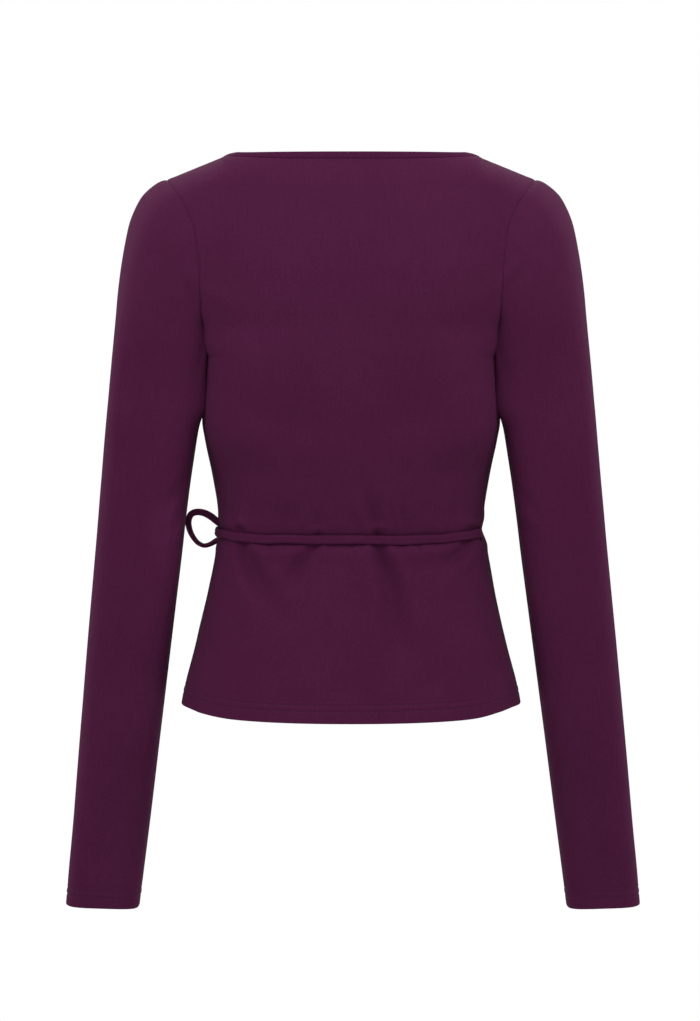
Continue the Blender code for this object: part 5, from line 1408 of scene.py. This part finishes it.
# ---------------------------------------------------------------- neck band
def band_profile(n=20):
    """The band in section: a folded edge at the top, rounder outside, flat where it meets the cloth."""
    w, t = BAND_W, BAND_T
    a = np.linspace(0, 2 * math.pi, n, endpoint=False)
    x = 0.5 * w + 0.5 * w * np.sign(np.cos(a)) * np.abs(np.cos(a)) ** 0.55
    y = 0.5 * t * np.sign(np.sin(a)) * np.abs(np.sin(a)) ** 0.70
    return np.stack([x - 0.0003, y - CLOTH * 0.5], 1)


def band(name, line, up, normal):
    n = len(line)
    fine = resample(np.concatenate([line, up, normal], 1), np.linspace(0, 1, 2)) if n < 2 else None
    ripple = 1 + 0.03 * np.sin(np.linspace(0, n * 0.35, n))
    prof = band_profile()[None] * np.stack([np.ones(n), ripple], -1)[:, None]
    return strip_tube(name, line, up, normal, prof, BAND_MAT)


top_row = back_O[-1, CORNER_L:CORNER_R + 1] * 1.0
top_base = back[-1, CORNER_L:CORNER_R + 1]
below = back[-8, CORNER_L:CORNER_R + 1]
nn = back_n[-2, CORNER_L:CORNER_R + 1]
up = unit((top_base - below) * (1.0, 0.5, 1.0))
lean_l = np.array((-math.cos(slope), 0.0, math.sin(slope)))
lean_r = lean_l * (-1, 1, 1)
w = np.exp(-(np.abs(top_base[:, :1] - NECK_X) / 0.014) ** 1.3)
up = unit(lerp(up, lean_l, w))
w = np.exp(-(np.abs(top_base[:, :1] + NECK_X) / 0.014) ** 1.3)
up = unit(lerp(up, lean_r, w))
tan = unit(np.gradient(top_base, axis=0))
nn = unit(np.cross(tan, up))
if (nn * back_n[-2, CORNER_L:CORNER_R + 1]).sum() < 0:
    nn = -nn
band_back_ob = band("neck_band_back_strip", top_base, up, nn)
BAND_BACK_LEN = float(run_of(top_base)[-1])

WAIST = int(np.argmin(np.abs(LEVELS - WAIST_Z)))


def edge_band(name, P, N, side, out):
    line = (P + N * (out + 0.0003)[..., None])[WAIST:, -1]
    base_n = N[WAIST:, -2]
    near = P[WAIST:, -6]
    up = unit(P[WAIST:, -1] - near)
    lean = np.array((-side * math.cos(slope), 0.0, math.sin(slope)))
    w = np.exp(-(np.abs(line[:, 2:3] - NECK_Z) / 0.010) ** 1.5)
    up = unit(lerp(up, lean, w))
    tan = unit(np.gradient(line, axis=0))
    up = unit(up - tan * (up * tan).sum(1, keepdims=True) * (1 - w))
    nn = unit(np.cross(tan, up))
    if (nn * base_n).sum() < 0:
        nn = -nn
    return band(name, line, up, nn), float(run_of(line)[-1])


band_left_ob, BAND_LEFT_LEN = edge_band("neck_band_left_strip", front_l, front_l_n, 1, left_out)
band_right_ob, BAND_RIGHT_LEN = edge_band("neck_band_right_strip", front_r, front_r_n, -1, right_out)

# ---------------------------------------------------------------- riding on the body, hiding the parts they stand for, and the cut
pieces = (
    (back_ob, "back", "body_jersey"), (left_ob, "front_left", "body_jersey"), (right_ob, "front_right", "body_jersey"),
    (sl_ob, "sleeve_left", "body_jersey"), (sr_ob, "sleeve_right", "body_jersey"),
    (band_back_ob, "neck_band_back", "band_jersey"), (band_left_ob, "neck_band_left", "band_jersey"),
    (band_right_ob, "neck_band_right", "band_jersey"), (tie_long_ob, "tie_long", "tie_jersey"),
    (tie_short_ob, "tie_short", "tie_jersey"), (knot_ob, "bow_knot", "tie_jersey"),
    (loop_out_ob, "bow_loop_out", "tie_jersey"), (loop_fwd_ob, "bow_loop_forward", "tie_jersey"),
    (tail_obs[0], "bow_tail_a", "tie_jersey"), (tail_obs[1], "bow_tail_b", "tie_jersey"),
)
for ob, node, slot in pieces + tuple(thread):
    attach(ob, "root")
    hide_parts(node)


def area_of(P, ring=False):
    if ring:
        P = np.concatenate([P, P[:, :1]], 1)
    a, b, c, d = P[:-1, :-1], P[:-1, 1:], P[1:, 1:], P[1:, :-1]
    return float((np.linalg.norm(np.cross(b - a, c - a), axis=-1) + np.linalg.norm(np.cross(c - a, d - a), axis=-1)).sum() / 2)


for label, length in (("tie_long", TIE_LONG_LEN), ("tie_short", TIE_SHORT_LEN), ("loop_out", LOOP_OUT_LEN),
                      ("loop_forward", LOOP_FWD_LEN), ("tails", TAIL_LENS), ("bands", (BAND_BACK_LEN, BAND_LEFT_LEN, BAND_RIGHT_LEN)),
                      ("areas", [round(area_of(g), 4) for g in (back, front_l, front_r)] + [round(area_of(sleeve_l, True), 4)])):
    print("CUT", label, length)

# ---------------------------------------------------------------- floor, light, camera
FLOOR_Z, FLOOR_R = -1.6, 2.6
floor_mesh = bpy.data.meshes.new("floor")
ring = [(FLOOR_R * math.cos(2 * math.pi * k / 96), FLOOR_R * math.sin(2 * math.pi * k / 96), FLOOR_Z) for k in range(96)]
floor_mesh.from_pydata(ring, [], [tuple(range(96))])
floor = bpy.data.objects.new("floor", floor_mesh)
bpy.context.scene.collection.objects.link(floor)
fm = bpy.data.materials.new("pale_floor")
fm.use_nodes = True
fn = fm.node_tree
fb = fn.nodes["Principled BSDF"]
fb.inputs["Base Color"].default_value = (0.86, 0.86, 0.86, 1)
fb.inputs["Roughness"].default_value = 0.9
fb.inputs["Specular IOR Level"].default_value = 0.0
# the floor fades out towards its rim
fco = fn.nodes.new("ShaderNodeTexCoord")
flen = fn.nodes.new("ShaderNodeVectorMath")
flen.operation = "LENGTH"
fn.links.new(fco.outputs["Object"], flen.inputs[0])
frange = fn.nodes.new("ShaderNodeMapRange")
frange.interpolation_type = "SMOOTHSTEP"
frange.inputs["From Min"].default_value = math.hypot(FLOOR_Z, 0.7)
frange.inputs["From Max"].default_value = math.hypot(FLOOR_Z, FLOOR_R)
frange.inputs["To Min"].default_value = 1.0
frange.inputs["To Max"].default_value = 0.0
fn.links.new(flen.outputs["Value"], frange.inputs["Value"])
fn.links.new(frange.outputs[0], fb.inputs["Alpha"])
floor_mesh.materials.append(fm)

# the studio is white to look at, and its walls give a soft, weaker light
world = bpy.data.worlds.new("studio")
bpy.context.scene.world = world
world.use_nodes = True
wn = world.node_tree
seen = wn.nodes["Background"]
seen.inputs[0].default_value = (1.0, 1.0, 1.0, 1)
seen.inputs[1].default_value = 1.0
walls = wn.nodes.new("ShaderNodeBackground")
walls.inputs[0].default_value = (1.0, 1.0, 1.0, 1)
walls.inputs[1].default_value = 0.74
path_node = wn.nodes.new("ShaderNodeLightPath")
mix = wn.nodes.new("ShaderNodeMixShader")
wn.links.new(path_node.outputs["Is Camera Ray"], mix.inputs[0])
wn.links.new(walls.outputs[0], mix.inputs[1])
wn.links.new(seen.outputs[0], mix.inputs[2])
wn.links.new(mix.outputs[0], wn.nodes["World Output"].inputs[0])


def softbox(name, at, aim, size, watts, colour=(1, 1, 1)):
    lamp = bpy.data.lights.new(name, "AREA")
    lamp.shape = "RECTANGLE"
    lamp.size, lamp.size_y = size
    lamp.energy = watts
    lamp.color = colour
    ob = bpy.data.objects.new(name, lamp)
    ob.location = at
    ob.rotation_mode = "QUATERNION"
    ob.rotation_quaternion = (Vector(aim) - Vector(at)).to_track_quat("-Z", "Y")
    ob.visible_camera = False
    bpy.context.scene.collection.objects.link(ob)
    return ob


softbox("key_back", (0.0, 0.8, 0.35), (0, 0, -0.10), (1.0, 0.5), 2.4)
softbox("key_front", (0.0, -0.8, 0.35), (0, 0, -0.10), (1.0, 0.5), 2.4)
softbox("overhead", (0.0, 0.1, 1.2), (0, 0, -0.2), (1.6, 1.0), 4.6)
softbox("high_left", (1.5, 0.8, 0.8), (0, 0, -0.2), (0.8, 0.8), 11.0)
softbox("high_right", (-1.5, 0.8, 0.8), (0, 0, -0.2), (0.8, 0.8), 11.8)
softbox("front_left", (1.5, -0.8, 0.8), (0, 0, -0.2), (0.8, 0.8), 11.0)
softbox("front_right", (-1.5, -0.8, 0.8), (0, 0, -0.2), (0.8, 0.8), 11.0)

# a small fill behind the bow, which hangs in the shade between the sleeve and the waist
fill = softbox("bow_fill", (0.144, 0.62, -0.355), (0.144, 0.0, -0.355), (0.03, 0.05), 0.0050)
fill.data.spread = math.radians(10)

cam_data = bpy.data.cameras.new("camera")
cam_data.lens = 135.24
cam_data.sensor_width = 36.0
cam = bpy.data.objects.new("camera", cam_data)
cam.location = (0.00098, 3.6, -0.138)
cam.rotation_euler = (math.radians(90.0 - 3.148), 0.0, math.radians(180.0))
cam_data.clip_start, cam_data.clip_end = 0.05, 200.0
bpy.context.scene.collection.objects.link(cam)
bpy.context.scene.camera = cam
bpy.context.scene.view_settings.view_transform = "Standard"
bpy.context.scene.view_settings.look = "None"
